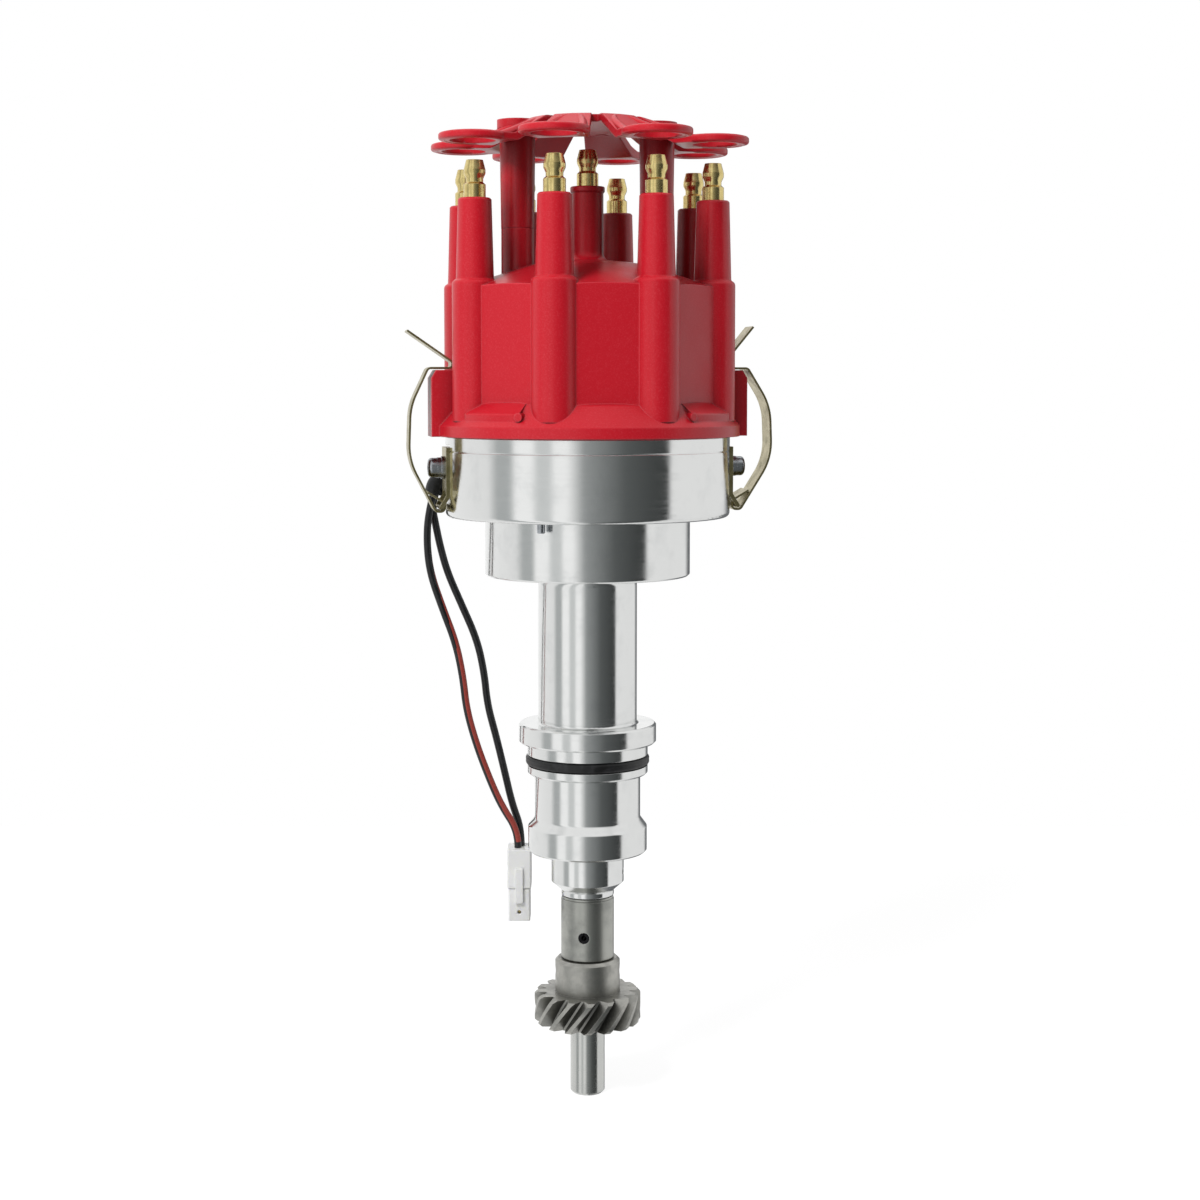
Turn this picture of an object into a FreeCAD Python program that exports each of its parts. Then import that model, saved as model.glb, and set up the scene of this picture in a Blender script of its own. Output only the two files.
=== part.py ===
"""Ignition distributor of an eight-cylinder engine, as an assembly of its separate pieces.

Millimetres. The origin lies on the shaft axis, on the underside of the hold-down collar, which
rests on the engine block. +Z points up along the shaft, from the drive gear to the cap. Azimuths
are counted from the front of the distributor, -Y, towards +X.
"""
import FreeCAD, Part
import math
import os

Vec = FreeCAD.Vector
Z_AXIS = Vec(0, 0, 1)
ORIGIN = Vec(0, 0, 0)

# Clearances
PRESS_GAP = 0.01          # radial gap of a pressed or screwed joint
RUN_GAP = 0.04            # radial gap of a shaft in its bushing
SEAT_GAP = 0.10           # gap at a seat between moving pieces
FREE_GAP = 0.4            # gap between pieces that pass each other

# Housing, from the seat down and up
SHAFT_R = 6.0
LAND_R = 20.2
LAND_BOTTOM = -10.5
RING_SECTION_R = 1.75
RING_PROUD = 0.75         # how far the seal ring stands out of its land
GROOVE_R = LAND_R - 2 * RING_SECTION_R + RING_PROUD
RING_Z = LAND_BOTTOM + 4.7
WAIST_R = 17.7
PILOT_R = 19.95           # turns in the lower bore of the block
PILOT_TOP = LAND_BOTTOM - 17.8
PILOT_BOTTOM = PILOT_TOP - 8.5
BOSS_R = 12.2
BOSS_BOTTOM = PILOT_BOTTOM - 10.3
BOSS_CHAMFER = 3.0
OIL_HOLE_R = 1.2
OIL_HOLE_Z = BOSS_BOTTOM + 3.4
OIL_HOLE_AZ = 80.0
NOSE_R = 8.9
NOSE_BOTTOM = BOSS_BOTTOM - 4.8
SEAT_R = 23.0
SEAT_THICK = 6.6
NECK_R = 16.5
NECK_TOP = 56.2
NECK_FILLET = 3.0
SECOND_R = 34.1
BOWL_BOTTOM = NECK_TOP + 19.6
BOWL_R = 47.2
BOWL_TOP = BOWL_BOTTOM + 26.7
BOWL_WALL = 4.0
BOWL_FLOOR = 4.0
BOWL_ROUND = 1.6
BOWL_BORE_R = BOWL_R - BOWL_WALL
FLOOR_Z = BOWL_BOTTOM + BOWL_FLOOR
RIM_BAND = 4.6            # height of the lighter band under the rim
RIM_GROOVE = 0.25
EDGE_CHAMFER = 0.6

# Bearings
BUSH_WALL = 1.5
BUSH_R = SHAFT_R + BUSH_WALL
BUSH_LENGTH = 22.0
BALL_R = 3.0
BALL_PITCH_R = SHAFT_R + BALL_R + 2.0
BALL_COUNT = 8
BALL_PLAY = 0.05
BEARING_R = BALL_PITCH_R + BALL_R + 2.0
BEARING_WIDTH = 10.0
BEARING_TOP = BOWL_BOTTOM - 1.8
BEARING_MIDDLE = BEARING_TOP - BEARING_WIDTH / 2
BEARING_LEDGE = 2.6       # shoulder that the outer race stands on
RACE_DEPTH = 0.6          # how far each race reaches past the ball's flank
CAGE_HALF_WIDTH = 1.2
CAGE_THICK = 1.2
SNAP_RING_THICK = 1.2
SNAP_RING_DEPTH = 1.0
SNAP_RING_REACH = 1.6
SNAP_RING_GAP = 7.0

# Shaft, collar and gear
SHAFT_CHAMFER = 0.8
SHAFT_SHOULDER = FLOOR_Z + 0.2
SHAFT_END_R = 5.8         # turns in the block's bushing below the gear
SPINDLE_R = 5.0           # upper, thinner end of the shaft
HEX_FLATS = 7.94
HEX_DEPTH = 20.0
THRUST_WASHER_THICK = 0.7
COLLAR_R = 8.9
COLLAR_TOP = NOSE_BOTTOM - THRUST_WASHER_THICK - 0.2
COLLAR_BOTTOM = COLLAR_TOP - 20.5
COLLAR_CHAMFER = 0.4
COLLAR_PIN_Z = COLLAR_TOP - 12.2
COLLAR_PIN_AZ = -8.0
HUB_R = 10.9
HUB_TOP = COLLAR_BOTTOM - SEAT_GAP
HUB_CHAMFER = 1.0
HUB_PIN_Z = HUB_TOP - 4.6
PIN_R = 1.85
PIN_BORE_R = 0.9
PIN_SLIT = 0.5
PIN_RECESS = 0.4
GEAR_TOP = HUB_TOP - 11.4
GEAR_BOTTOM = GEAR_TOP - 10.5
GEAR_TEETH = 16
GEAR_TIP_R = 17.9
GEAR_ROOT_R = GEAR_TIP_R - 3.7
GEAR_HELIX = 36.0         # degrees, right hand
GEAR_STEPS = 4
GEAR_EDGE = 0.9
SHAFT_BOTTOM = GEAR_BOTTOM - 24.5

# Advance mechanism, on the upper end of the shaft
SLEEVE_R = 7.5
SPIGOT_R = 7.0
RELUCTOR_R = 15.0
RELUCTOR_ROOT_R = 11.0
RELUCTOR_TEETH = 8
RELUCTOR_TIP_WIDTH = 3.0
RELUCTOR_FOOT_WIDTH = 7.2
RELUCTOR_BOTTOM = FLOOR_Z + 6.7
RELUCTOR_TOP = RELUCTOR_BOTTOM + 6.5
RELUCTOR_MIDDLE = (RELUCTOR_BOTTOM + RELUCTOR_TOP) / 2
RELUCTOR_PIN_R = 1.0
PLATE_R = 27.0
PLATE_BOTTOM = RELUCTOR_TOP + 4.0
PLATE_THICK = 2.0
PLATE_TOP = PLATE_BOTTOM + PLATE_THICK
WEIGHT_THICK = 5.0
WEIGHT_INNER_R = 16.2
WEIGHT_OUTER_R = PLATE_R - 0.5
WEIGHT_SPAN = 100.0       # degrees of the plate that each weight covers
WEIGHT_PIN_R = 1.8
WEIGHT_PIN_PITCH_R = 21.0
WEIGHT_BOSS_R = 4.6
TOE_R = 2.0
TOE_PITCH_R = 13.0
CAM_BOTTOM = PLATE_TOP + FREE_GAP
CAM_TOP = CAM_BOTTOM + WEIGHT_THICK
CAM_HUB_R = 8.4
CAM_POST_R = 1.2
CAM_POST_PITCH_R = 11.0
STOP_PITCH_R = 12.0
STOP_PIN_R = 1.3
STOP_BUSH_R = 2.6
ADVANCE_RANGE = 12.0      # degrees of the shaft
SPRING_R = 1.7
SPRING_WIRE_R = 0.4
SPRING_Z = CAM_TOP + SPRING_R + FREE_GAP
POST_TOP = SPRING_Z + 1.0
PIN_ANGLE = 90.0 + math.degrees(math.acos(CAM_POST_PITCH_R / WEIGHT_PIN_PITCH_R))
TOE_STEP = math.degrees((2 * TOE_R + FREE_GAP) / TOE_PITCH_R)
ROTOR_POST_R = 3.0
ROTOR_POST_PITCH_R = 20.0
ROTOR_POST_AZ = 192.0     # counted from +X, as the other places on the plate
ROTOR_SCREW_R = 1.3

# Rotor
ROTOR_BASE_Z = PLATE_BOTTOM + 13.0
ROTOR_BASE_R = PLATE_R
ROTOR_BASE_THICK = 3.4
ROTOR_HUB_R = 13.0
ROTOR_HUB_TOP_R = 9.0
BLADE_Z = ROTOR_BASE_Z + 20.4
BLADE_THICK = 1.5
BLADE_WIDTH = 6.0
BLADE_GAP = 0.8           # spark gap to the cap's contacts
CONTACT_SPRING_RISE = 2.4
CONTACT_SPRING_TOP = BLADE_Z + BLADE_THICK + CONTACT_SPRING_RISE
ROTOR_ARM_AZ = -14.1

# Cap
CAP_R = BOWL_R + 3.2
CAP_BAND = 3.5
CAP_WALL_FACE = CAP_R - 7.4     # from the axis to the flat wall between two ribs
CAP_WALL = 4.5
CAP_BORE_R = CAP_WALL_FACE - CAP_WALL
CAP_SKIRT_TOP = BOWL_TOP + 11.3
CAP_WALL_TOP = BOWL_TOP + 47.6
CAP_ROOF = 4.5
SPIGOT_DEPTH = 2.2
PAD_R = CAP_R - 1.6             # raised pads on the skirt, beside the front ribs
PAD_TOP = BOWL_TOP + 7.6
PAD_SPAN = 27.0
PEG_R = 1.4
PEG_STEP = 12.0                 # degrees from a front tower to the peg at its pad
RIB_R = 7.4
RIB_BOTTOM = BOWL_TOP + 5.2
TOWER_COUNT = 8
TOWER_PITCH_R = CAP_WALL_FACE - 1.0
TOWER_FIRST_AZ = -14.1
TOWER_SHOULDER = CAP_WALL_TOP + 2.4
TOWER_BASE_R = 6.1
TOWER_TOP_R = 5.4
TOWER_TOP = TOWER_SHOULDER + 26.4
COIL_TOWER_R = 5.25
COIL_TOWER_FOOT = CAP_WALL_TOP + 10.3
COIL_TOWER_TOP = COIL_TOWER_FOOT + 24.0
COIL_LIP = 0.45
COIL_FLARE = 4.0
ROOF_BREAK_R = COIL_TOWER_R + 12.0    # where the roof turns from flat to rising
BRUSH_R = 2.4
BRUSH_LENGTH = 9.0
BRUSH_BOTTOM = CONTACT_SPRING_TOP + 0.3
BRUSH_BOSS_R = 6.0
BRUSH_MOUTH = BRUSH_BOTTOM + 2.5
LUG_REACH = CAP_R + 2.0
LUG_WIDTH = 16.0
LUG_TOP = BOWL_TOP + 21.7
LUG_CHAMFER = 2.6

# Terminals
TERMINAL_STEM_R = 2.2
TERMINAL_HEIGHT = 12.0
TERMINAL_FOOT_R = 3.55
TERMINAL_FOOT = 4.5
TERMINAL_NECK_R = 2.75
TERMINAL_BULGE_R = 3.5
TERMINAL_TIP_R = 2.7
CONTACT_REACH_R = CAP_BORE_R - 1.1
CONTACT_Z = BLADE_Z + BLADE_THICK / 2
COIL_STEM_BOTTOM = COIL_TOWER_FOOT - 6.0

# Wire retainer
LEG_PITCH_R = 23.2
LEG_R = 5.9
LEG_FOOT_R = 5.45
LEG_SPLIT = CAP_WALL_TOP + 20.4
HUB_DISC_R = 20.0
HUB_DISC_TOP = COIL_TOWER_TOP + 21.7
HUB_DISC_THICK = 2.4
PETAL_PITCH_R = TOWER_PITCH_R + 0.4
PETAL_R = 11.2
PETAL_HOLE_R = 7.2
PETAL_Z = HUB_DISC_TOP - 7.9
PETAL_THICK = 2.4
ARM_HALF_WIDTH = 5.6
RETAINER_SCREW_R = 1.7
RETAINER_SCREW_HEAD_R = 3.0
RETAINER_SCREW_SEAT = HUB_DISC_TOP - 6.0
RETAINER_SCREW_GRIP = 9.0

# Spring clips and their brackets
CLIP_LEFT_AZ = -81.3
CLIP_RIGHT_AZ = 98.7
CLIP_THICK = 0.7
CLIP_WIDTH = 11.0
CLIP_PIVOT_R = BOWL_R + 2.2
CLIP_PIVOT_Z = BOWL_BOTTOM + 3.6
CLIP_LOOP_R = 1.45        # centre line of the eye round the cross bar
CLIP_BOW_LEFT = 6.6       # how far each bow stands out past the cap's lug
CLIP_BOW_RIGHT = 8.4
CLIP_BOW_RADIUS = 20.0
CLIP_NOSE_R = CAP_WALL_FACE + 2.4      # how near the finger reaches to the cap's wall
CLIP_HAIRPIN_R = 1.0
LEVER_LEFT = (LUG_REACH + 7.6, LUG_TOP + 12.8)
LEVER_RIGHT = (LUG_REACH + 2.6, LUG_TOP + 14.4)
BRACKET_THICK = 1.3
BRACKET_WIDTH = 16.0
BRACKET_TOP = BOWL_TOP - 3.6
BRACKET_BEND = BOWL_BOTTOM + 7.2
BRACKET_FLAT_R = BOWL_R - 0.75         # milled flat on the bowl
BRACKET_FLAT_BOTTOM = BRACKET_BEND - 2.6
CROSS_BAR_R = 0.65
SLOT_TOP = BRACKET_BEND + 1.6
CLIP_SCREW_Z = BOWL_TOP - 10.3
CLIP_SCREW_R = 1.9
CLIP_HEAD_R = 3.25
CLIP_HEAD = 3.0
WASHER_R = 3.8
WASHER_THICK = 1.0
LOCK_WASHER_R = 3.4
LOCK_WASHER_THICK = 1.4

# Trigger parts in the bowl
BASE_THICK = 2.5
BASE_TOP = FLOOR_Z + BASE_THICK
BASE_GAP = 1.2            # from the base plate to the bowl's wall
BASE_BORE_R = BEARING_R + 1.6
BASE_SCREW_R = 1.6
BASE_SCREW_HEAD_R = 3.0
BASE_SCREW_HEAD = 2.0
BASE_SCREW_GRIP = 2.5
BASE_SCREW_PITCH_R = BOWL_BORE_R - 5.2
BASE_SCREW_AZ = (20.0, 170.0)
MODULE_INNER_R = 20.0
MODULE_OUTER_R = BOWL_BORE_R - 2.7
MODULE_TOP = FLOOR_Z + 14.7
MODULE_AZ = (-150.0, -40.0)
MODULE_EAR = 4.0          # height of the seat of each module screw
MODULE_EAR_R = 4.2
MODULE_EAR_INSET = 12.0   # degrees from each end of the module
MODULE_SCREW_PITCH_R = MODULE_OUTER_R - 4.5
PICKUP_AZ = 90.0
PICKUP_GAP = 0.5          # from the pole to a reluctor tooth
PICKUP_POLE = 3.0
PICKUP_LENGTH = 13.0
PICKUP_WIDTH = 18.0
PICKUP_NOSE = 3.5         # length of the pole in front of the bobbin
LOCATING_PIN_AZ = -23.0
LOCATING_PIN_SHARE = 5 / 13        # place across the ledge between the second step and the bore
LOCATING_PIN_PITCH_R = SECOND_R + (BOWL_BORE_R - SECOND_R) * LOCATING_PIN_SHARE
LOCATING_PIN_R = 1.3
LOCATING_PIN_BOTTOM = BOWL_BOTTOM - 3.4

# Leads
GROMMET_AZ = -99.0
GROMMET_Z = BOWL_BOTTOM + 11.7
GROMMET_R = 3.4
GROMMET_FLANGE_R = 4.8
GROMMET_FLANGE = 1.4
GROMMET_BEND = 75.0
GROMMET_BEND_R = 3.6
GROMMET_TAIL = 2.0
WIRE_R = 1.25
WIRE_SPREAD = 1.5
CONNECTOR_DROP = 121.9    # from the grommet's tip to the top of the connector
CONNECTOR_IN = 28.2       # from the grommet's tip towards the shaft
CONNECTOR_BACK = 6.3
CONNECTOR_SIZE = (8.1, 11.0, 24.7)
CONNECTOR_WALL = 0.7
CONNECTOR_SEAM = 0.4
CONTACT_SPACING = 3.6
CONTACT_R = 1.3
CONTACT_BORE_R = 0.7


def bearing(az):
    """Unit vector from the axis towards an azimuth."""
    turn = math.radians(az)
    return Vec(math.sin(turn), -math.cos(turn), 0)


def polar(radius, az, z=0.0):
    """Point at a radius, azimuth and height."""
    return bearing(az) * radius + Vec(0, 0, z)


def plate_point(radius, angle, z=0.0):
    """Point on the advance plate, with the angle counted from +X."""
    turn = math.radians(angle)
    return Vec(radius * math.cos(turn), radius * math.sin(turn), z)


def rod(radius, start, end):
    """Cylinder between two points."""
    run = end - start
    return Part.makeCylinder(radius, run.Length, start, run)


def tube(outer_r, inner_r, bottom, top):
    """Ring about the shaft axis."""
    outer = Part.makeCylinder(outer_r, top - bottom, Vec(0, 0, bottom))
    inner = Part.makeCylinder(inner_r, top - bottom + 2, Vec(0, 0, bottom - 1))
    return outer.cut(inner)


def facing(shape, az):
    """Shape drawn looking along +X, turned to face an azimuth."""
    turned = shape.copy()
    turned.rotate(ORIGIN, Z_AXIS, az - 90)
    return turned


def block(size, centre):
    """Box of a size about its centre."""
    corner = centre - Vec(size[0] / 2, size[1] / 2, size[2] / 2)
    return Part.makeBox(size[0], size[1], size[2], corner)


def outline(points, place, closed=True):
    """Wire through corners (a, b) or (a, b, corner radius); place maps (a, b) to space."""
    count = len(points)
    starts, ends, arcs = [], [], []
    for index, point in enumerate(points):
        here = Vec(point[0], point[1], 0)
        radius = point[2] if len(point) > 2 else 0
        if radius == 0 or (not closed and index in (0, count - 1)):
            starts.append(here)
            ends.append(here)
            arcs.append(None)
            continue
        back = Vec(*points[index - 1][:2], 0) - here
        on = Vec(*points[(index + 1) % count][:2], 0) - here
        back.normalize()
        on.normalize()
        half = back.getAngle(on) / 2
        reach = radius / math.tan(half)
        middle = (back + on).normalize() * (radius / math.sin(half) - radius)
        starts.append(here + back * reach)
        ends.append(here + on * reach)
        arcs.append(here + middle)
    edges = []
    for index in range(count):
        if arcs[index]:
            corner = [place(starts[index]), place(arcs[index]), place(ends[index])]
            edges.append(Part.Arc(*corner).toShape())
        following = (index + 1) % count
        last_open = not closed and index == count - 1
        if not last_open and (starts[following] - ends[index]).Length > 1e-6:
            edges.append(Part.LineSegment(place(ends[index]), place(starts[following])).toShape())
    return Part.Wire(edges)


def upright(point):
    """Place a profile point (radius, height) in the XZ plane."""
    return Vec(point.x, 0, point.y)


def turned(points):
    """Solid turned about the shaft axis from a closed profile of (radius, height) corners."""
    return Part.Face(outline(points, upright)).revolve(ORIGIN, Z_AXIS, 360)


def flat_shape(points, bottom, thickness):
    """Plate with an outline of (x, y) corners."""
    wire = outline(points, lambda point: Vec(point.x, point.y, bottom))
    return Part.Face(wire).extrude(Vec(0, 0, thickness))


def sector(inner_r, outer_r, bottom, top, first, last):
    """Part of a ring between two azimuths."""
    ring = tube(outer_r, inner_r, bottom, top)
    far = outer_r * 2
    points = [Vec(0, 0, bottom)]
    steps = 4
    for step in range(steps + 1):
        points.append(polar(far, first + (last - first) * step / steps, bottom))
    wedge = Part.Face(Part.makePolygon(points + [points[0]])).extrude(Vec(0, 0, top - bottom))
    return ring.common(wedge)


def upright_edges(shape):
    """Edges of a shape that run straight up."""
    return [edge for edge in shape.Edges if abs(edge.tangentAt(edge.FirstParameter).z) > 0.9]


def fuse(shapes):
    """One solid of overlapping shapes."""
    joined = shapes[0].multiFuse(shapes[1:]) if len(shapes) > 1 else shapes[0]
    return joined.removeSplitter()


def spring_pin(centre, direction, half_length):
    """Rolled spring pin with its slit."""
    start = centre - direction * half_length
    end = centre + direction * half_length
    pin = rod(PIN_R, start, end).cut(rod(PIN_BORE_R, start - direction, end + direction))
    slit = Part.makeBox(2 * half_length + 2, PIN_SLIT, PIN_R + 1, Vec(-half_length - 1, -PIN_SLIT / 2, 0))
    place = FreeCAD.Placement(centre, FreeCAD.Rotation(Vec(1, 0, 0), direction))
    slit.Placement = place.multiply(slit.Placement)
    return pin.cut(slit)


def pan_head_screw(seat, direction, shank_r, shank_length, head_r, head_height):
    """Screw whose head stands out of its seat along a direction."""
    head = rod(head_r, seat, seat + direction * head_height)
    rim = max(head.Edges, key=lambda edge: (edge.CenterOfMass - seat).dot(direction))
    head = head.makeFillet(head_height * 0.45, [rim])
    shank = rod(shank_r, seat - direction * shank_length, seat + direction * (head_height / 2))
    recess_size = head_r * 0.9
    recess = block((recess_size, head_height * 0.4, head_height), ORIGIN)
    recess = recess.fuse(block((head_height * 0.4, recess_size, head_height), ORIGIN))
    place = FreeCAD.Rotation(Z_AXIS, direction)
    recess.Placement = FreeCAD.Placement(seat + direction * head_height, place)
    return head.fuse(shank).cut(recess).removeSplitter()


def tower_azimuths():
    """Azimuths of the plug towers, evenly round the cap."""
    return [TOWER_FIRST_AZ + index * 360.0 / TOWER_COUNT for index in range(TOWER_COUNT)]


# Housing and bearings

def make_housing():
    """Turned housing with its bowl, bearing seats and the drilled holes."""
    ch = EDGE_CHAMFER
    ring_half = RING_SECTION_R + 0.05
    seat_bottom = BEARING_TOP - BEARING_WIDTH
    shaft_way = SHAFT_R + FREE_GAP
    rim_step = BOWL_TOP - RIM_BAND
    snap_top = BEARING_TOP + SNAP_RING_THICK + PRESS_GAP
    profile = [
        (BUSH_R, NOSE_BOTTOM), (NOSE_R - 0.3, NOSE_BOTTOM), (NOSE_R, NOSE_BOTTOM + 0.3),
        (NOSE_R, BOSS_BOTTOM - BOSS_CHAMFER), (BOSS_R, BOSS_BOTTOM), (BOSS_R, PILOT_BOTTOM),
        (PILOT_R - ch, PILOT_BOTTOM), (PILOT_R, PILOT_BOTTOM + ch), (PILOT_R, PILOT_TOP, 1.0),
        (WAIST_R, PILOT_TOP + 3.0, 1.5), (WAIST_R, LAND_BOTTOM),
        (LAND_R - ch, LAND_BOTTOM), (LAND_R, LAND_BOTTOM + ch),
        (LAND_R, RING_Z - ring_half), (GROOVE_R, RING_Z - ring_half),
        (GROOVE_R, RING_Z + ring_half), (LAND_R, RING_Z + ring_half), (LAND_R, 0),
        (SEAT_R - ch, 0), (SEAT_R, ch), (SEAT_R, SEAT_THICK - ch), (SEAT_R - ch, SEAT_THICK),
        (NECK_R, SEAT_THICK, 0.8), (NECK_R, NECK_TOP, NECK_FILLET),
        (SECOND_R - ch, NECK_TOP), (SECOND_R, NECK_TOP + ch), (SECOND_R, BOWL_BOTTOM, 0.6),
        (BOWL_R, BOWL_BOTTOM, BOWL_ROUND), (BOWL_R, rim_step - 2 * RIM_GROOVE),
        (BOWL_R - RIM_GROOVE, rim_step - RIM_GROOVE), (BOWL_R, rim_step),
        (BOWL_R, BOWL_TOP - ch / 2), (BOWL_R - ch / 2, BOWL_TOP),
        (BOWL_BORE_R, BOWL_TOP), (BOWL_BORE_R, FLOOR_Z, 1.0),
        (BEARING_R, FLOOR_Z), (BEARING_R, snap_top), (BEARING_R + SNAP_RING_DEPTH, snap_top),
        (BEARING_R + SNAP_RING_DEPTH, BEARING_TOP), (BEARING_R, BEARING_TOP),
        (BEARING_R, seat_bottom), (BEARING_R - BEARING_LEDGE, seat_bottom),
        (BEARING_R - BEARING_LEDGE, seat_bottom - 2.0), (shaft_way, seat_bottom - 5.0),
        (shaft_way, NOSE_BOTTOM + BUSH_LENGTH + 1.0), (BUSH_R, NOSE_BOTTOM + BUSH_LENGTH),
    ]
    body = turned(profile)
    for az in (CLIP_LEFT_AZ, CLIP_RIGHT_AZ):
        body = body.cut(clip_flat(az))
        body = body.cut(rod(CLIP_SCREW_R + PRESS_GAP, polar(BOWL_BORE_R - 1, az, CLIP_SCREW_Z),
                            polar(BOWL_R + 1, az, CLIP_SCREW_Z)))
    body = body.cut(rod(GROMMET_R + PRESS_GAP, polar(BOWL_BORE_R - 2, GROMMET_AZ, GROMMET_Z),
                        polar(BOWL_R + 1, GROMMET_AZ, GROMMET_Z)))
    pin_foot = polar(LOCATING_PIN_PITCH_R, LOCATING_PIN_AZ, BOWL_BOTTOM - 1)
    body = body.cut(rod(LOCATING_PIN_R + PRESS_GAP, pin_foot, pin_foot + Vec(0, 0, BOWL_FLOOR + 2)))
    for az in BASE_SCREW_AZ:
        top = polar(BASE_SCREW_PITCH_R, az, FLOOR_Z + 1)
        body = body.cut(rod(BASE_SCREW_R + PRESS_GAP, top - Vec(0, 0, BOWL_FLOOR), top))
    inner_end = polar(BUSH_R, OIL_HOLE_AZ, OIL_HOLE_Z)
    oil_hole = rod(OIL_HOLE_R, inner_end, polar(BOSS_R + 1, OIL_HOLE_AZ, OIL_HOLE_Z))
    return body.cut(oil_hole)


def clip_flat(az):
    """Milled flat that a clip bracket sits on."""
    width = BRACKET_WIDTH + 2 * FREE_GAP
    height = BRACKET_TOP + 1.0 - BRACKET_FLAT_BOTTOM
    cutter = Part.makeBox(BOWL_R, width, height, Vec(BRACKET_FLAT_R, -width / 2, BRACKET_FLAT_BOTTOM))
    return facing(cutter, az)


def make_o_ring():
    """Seal ring in the groove of the hold-down land."""
    return Part.makeTorus(GROOVE_R + RING_SECTION_R, RING_SECTION_R, Vec(0, 0, RING_Z))


def make_lower_bushing():
    """Long sintered bushing in the nose."""
    return tube(BUSH_R - PRESS_GAP, SHAFT_R + RUN_GAP, NOSE_BOTTOM, NOSE_BOTTOM + BUSH_LENGTH)


def ball_track():
    """Torus that the balls run in."""
    return Part.makeTorus(BALL_PITCH_R, BALL_R + BALL_PLAY, Vec(0, 0, BEARING_MIDDLE))


def make_outer_race():
    """Outer ring of the ball bearing."""
    inner = BALL_PITCH_R + BALL_R - RACE_DEPTH
    ring = tube(BEARING_R - PRESS_GAP, inner, BEARING_TOP - BEARING_WIDTH, BEARING_TOP)
    return ring.cut(ball_track())


def make_inner_race():
    """Inner ring of the ball bearing, on the shaft."""
    outer = BALL_PITCH_R - BALL_R + RACE_DEPTH
    ring = tube(outer, SHAFT_R + PRESS_GAP, BEARING_TOP - BEARING_WIDTH, BEARING_TOP)
    return ring.cut(ball_track())


def ball_centres():
    """Centres of the balls."""
    return [polar(BALL_PITCH_R, index * 360.0 / BALL_COUNT, BEARING_MIDDLE) for index in range(BALL_COUNT)]


def make_balls():
    """The bearing's balls."""
    return Part.makeCompound([Part.makeSphere(BALL_R, centre) for centre in ball_centres()])


def make_ball_cage():
    """Crown cage: a ring above the balls with a finger between each two."""
    half = CAGE_HALF_WIDTH
    crown = BEARING_MIDDLE + BALL_R + SEAT_GAP
    foot = BEARING_MIDDLE - 1.0
    pieces = [tube(BALL_PITCH_R + half, BALL_PITCH_R - half, crown, crown + CAGE_THICK)]
    for index in range(BALL_COUNT):
        finger = Part.makeBox(2 * half, CAGE_THICK, crown + CAGE_THICK / 2 - foot,
                              Vec(BALL_PITCH_R - half, -CAGE_THICK / 2, foot))
        pieces.append(facing(finger, (index + 0.5) * 360.0 / BALL_COUNT))
    return fuse(pieces)


def make_snap_ring():
    """Ring with a gap that holds the bearing down."""
    outer = BEARING_R + SNAP_RING_DEPTH - PRESS_GAP
    inner = BEARING_R - SNAP_RING_REACH
    ring = tube(outer, inner, BEARING_TOP, BEARING_TOP + SNAP_RING_THICK)
    gap = Part.makeBox(BEARING_R, SNAP_RING_GAP, 2 * SNAP_RING_THICK + 2,
                       Vec(inner - 1, -SNAP_RING_GAP / 2, BEARING_TOP - 1))
    return ring.cut(facing(gap, 0))


# Shaft line

def collar_pin_direction():
    """Direction of the pin through the collar."""
    return bearing(COLLAR_PIN_AZ)


def make_main_shaft():
    """Ground shaft with a hexagon socket below and a thinner spindle above."""
    ch = SHAFT_CHAMFER
    end_top = GEAR_BOTTOM - ch
    body = turned([
        (0, SHAFT_BOTTOM), (SHAFT_END_R - ch, SHAFT_BOTTOM), (SHAFT_END_R, SHAFT_BOTTOM + ch),
        (SHAFT_END_R, end_top), (SHAFT_R, end_top + SHAFT_R - SHAFT_END_R),
        (SHAFT_R, SHAFT_SHOULDER), (SPINDLE_R, SHAFT_SHOULDER), (SPINDLE_R, CAM_TOP - ch),
        (SPINDLE_R - ch, CAM_TOP), (0, CAM_TOP),
    ])
    corner_r = HEX_FLATS / math.sqrt(3)
    corners = [plate_point(corner_r, 60 * index, SHAFT_BOTTOM - 1) for index in range(6)]
    socket = Part.Face(Part.makePolygon(corners + [corners[0]])).extrude(Vec(0, 0, HEX_DEPTH + 1))
    body = body.cut(socket)
    return cut_pin_holes(body)


def cut_pin_holes(body):
    """Cross holes for the pins of the collar and of the gear."""
    across = collar_pin_direction()
    reach = HUB_R + 1
    middle = Vec(0, 0, COLLAR_PIN_Z)
    body = body.cut(rod(PIN_R + PRESS_GAP, middle - across * reach, middle + across * reach))
    middle = Vec(0, 0, HUB_PIN_Z)
    side = Vec(1, 0, 0)
    return body.cut(rod(PIN_R + PRESS_GAP, middle - side * reach, middle + side * reach))


def make_collar():
    """Steel collar pinned to the shaft under the housing's nose."""
    bore = SHAFT_R + PRESS_GAP
    ch = COLLAR_CHAMFER
    body = turned([
        (bore, COLLAR_BOTTOM), (COLLAR_R - ch, COLLAR_BOTTOM), (COLLAR_R, COLLAR_BOTTOM + ch),
        (COLLAR_R, COLLAR_TOP - ch), (COLLAR_R - ch, COLLAR_TOP), (bore, COLLAR_TOP),
    ])
    return cut_pin_holes(body)


def make_thrust_washer():
    """Bronze washer between the collar and the nose."""
    return tube(COLLAR_R - 0.2, SHAFT_R + PRESS_GAP, COLLAR_TOP, COLLAR_TOP + THRUST_WASHER_THICK)


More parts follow.
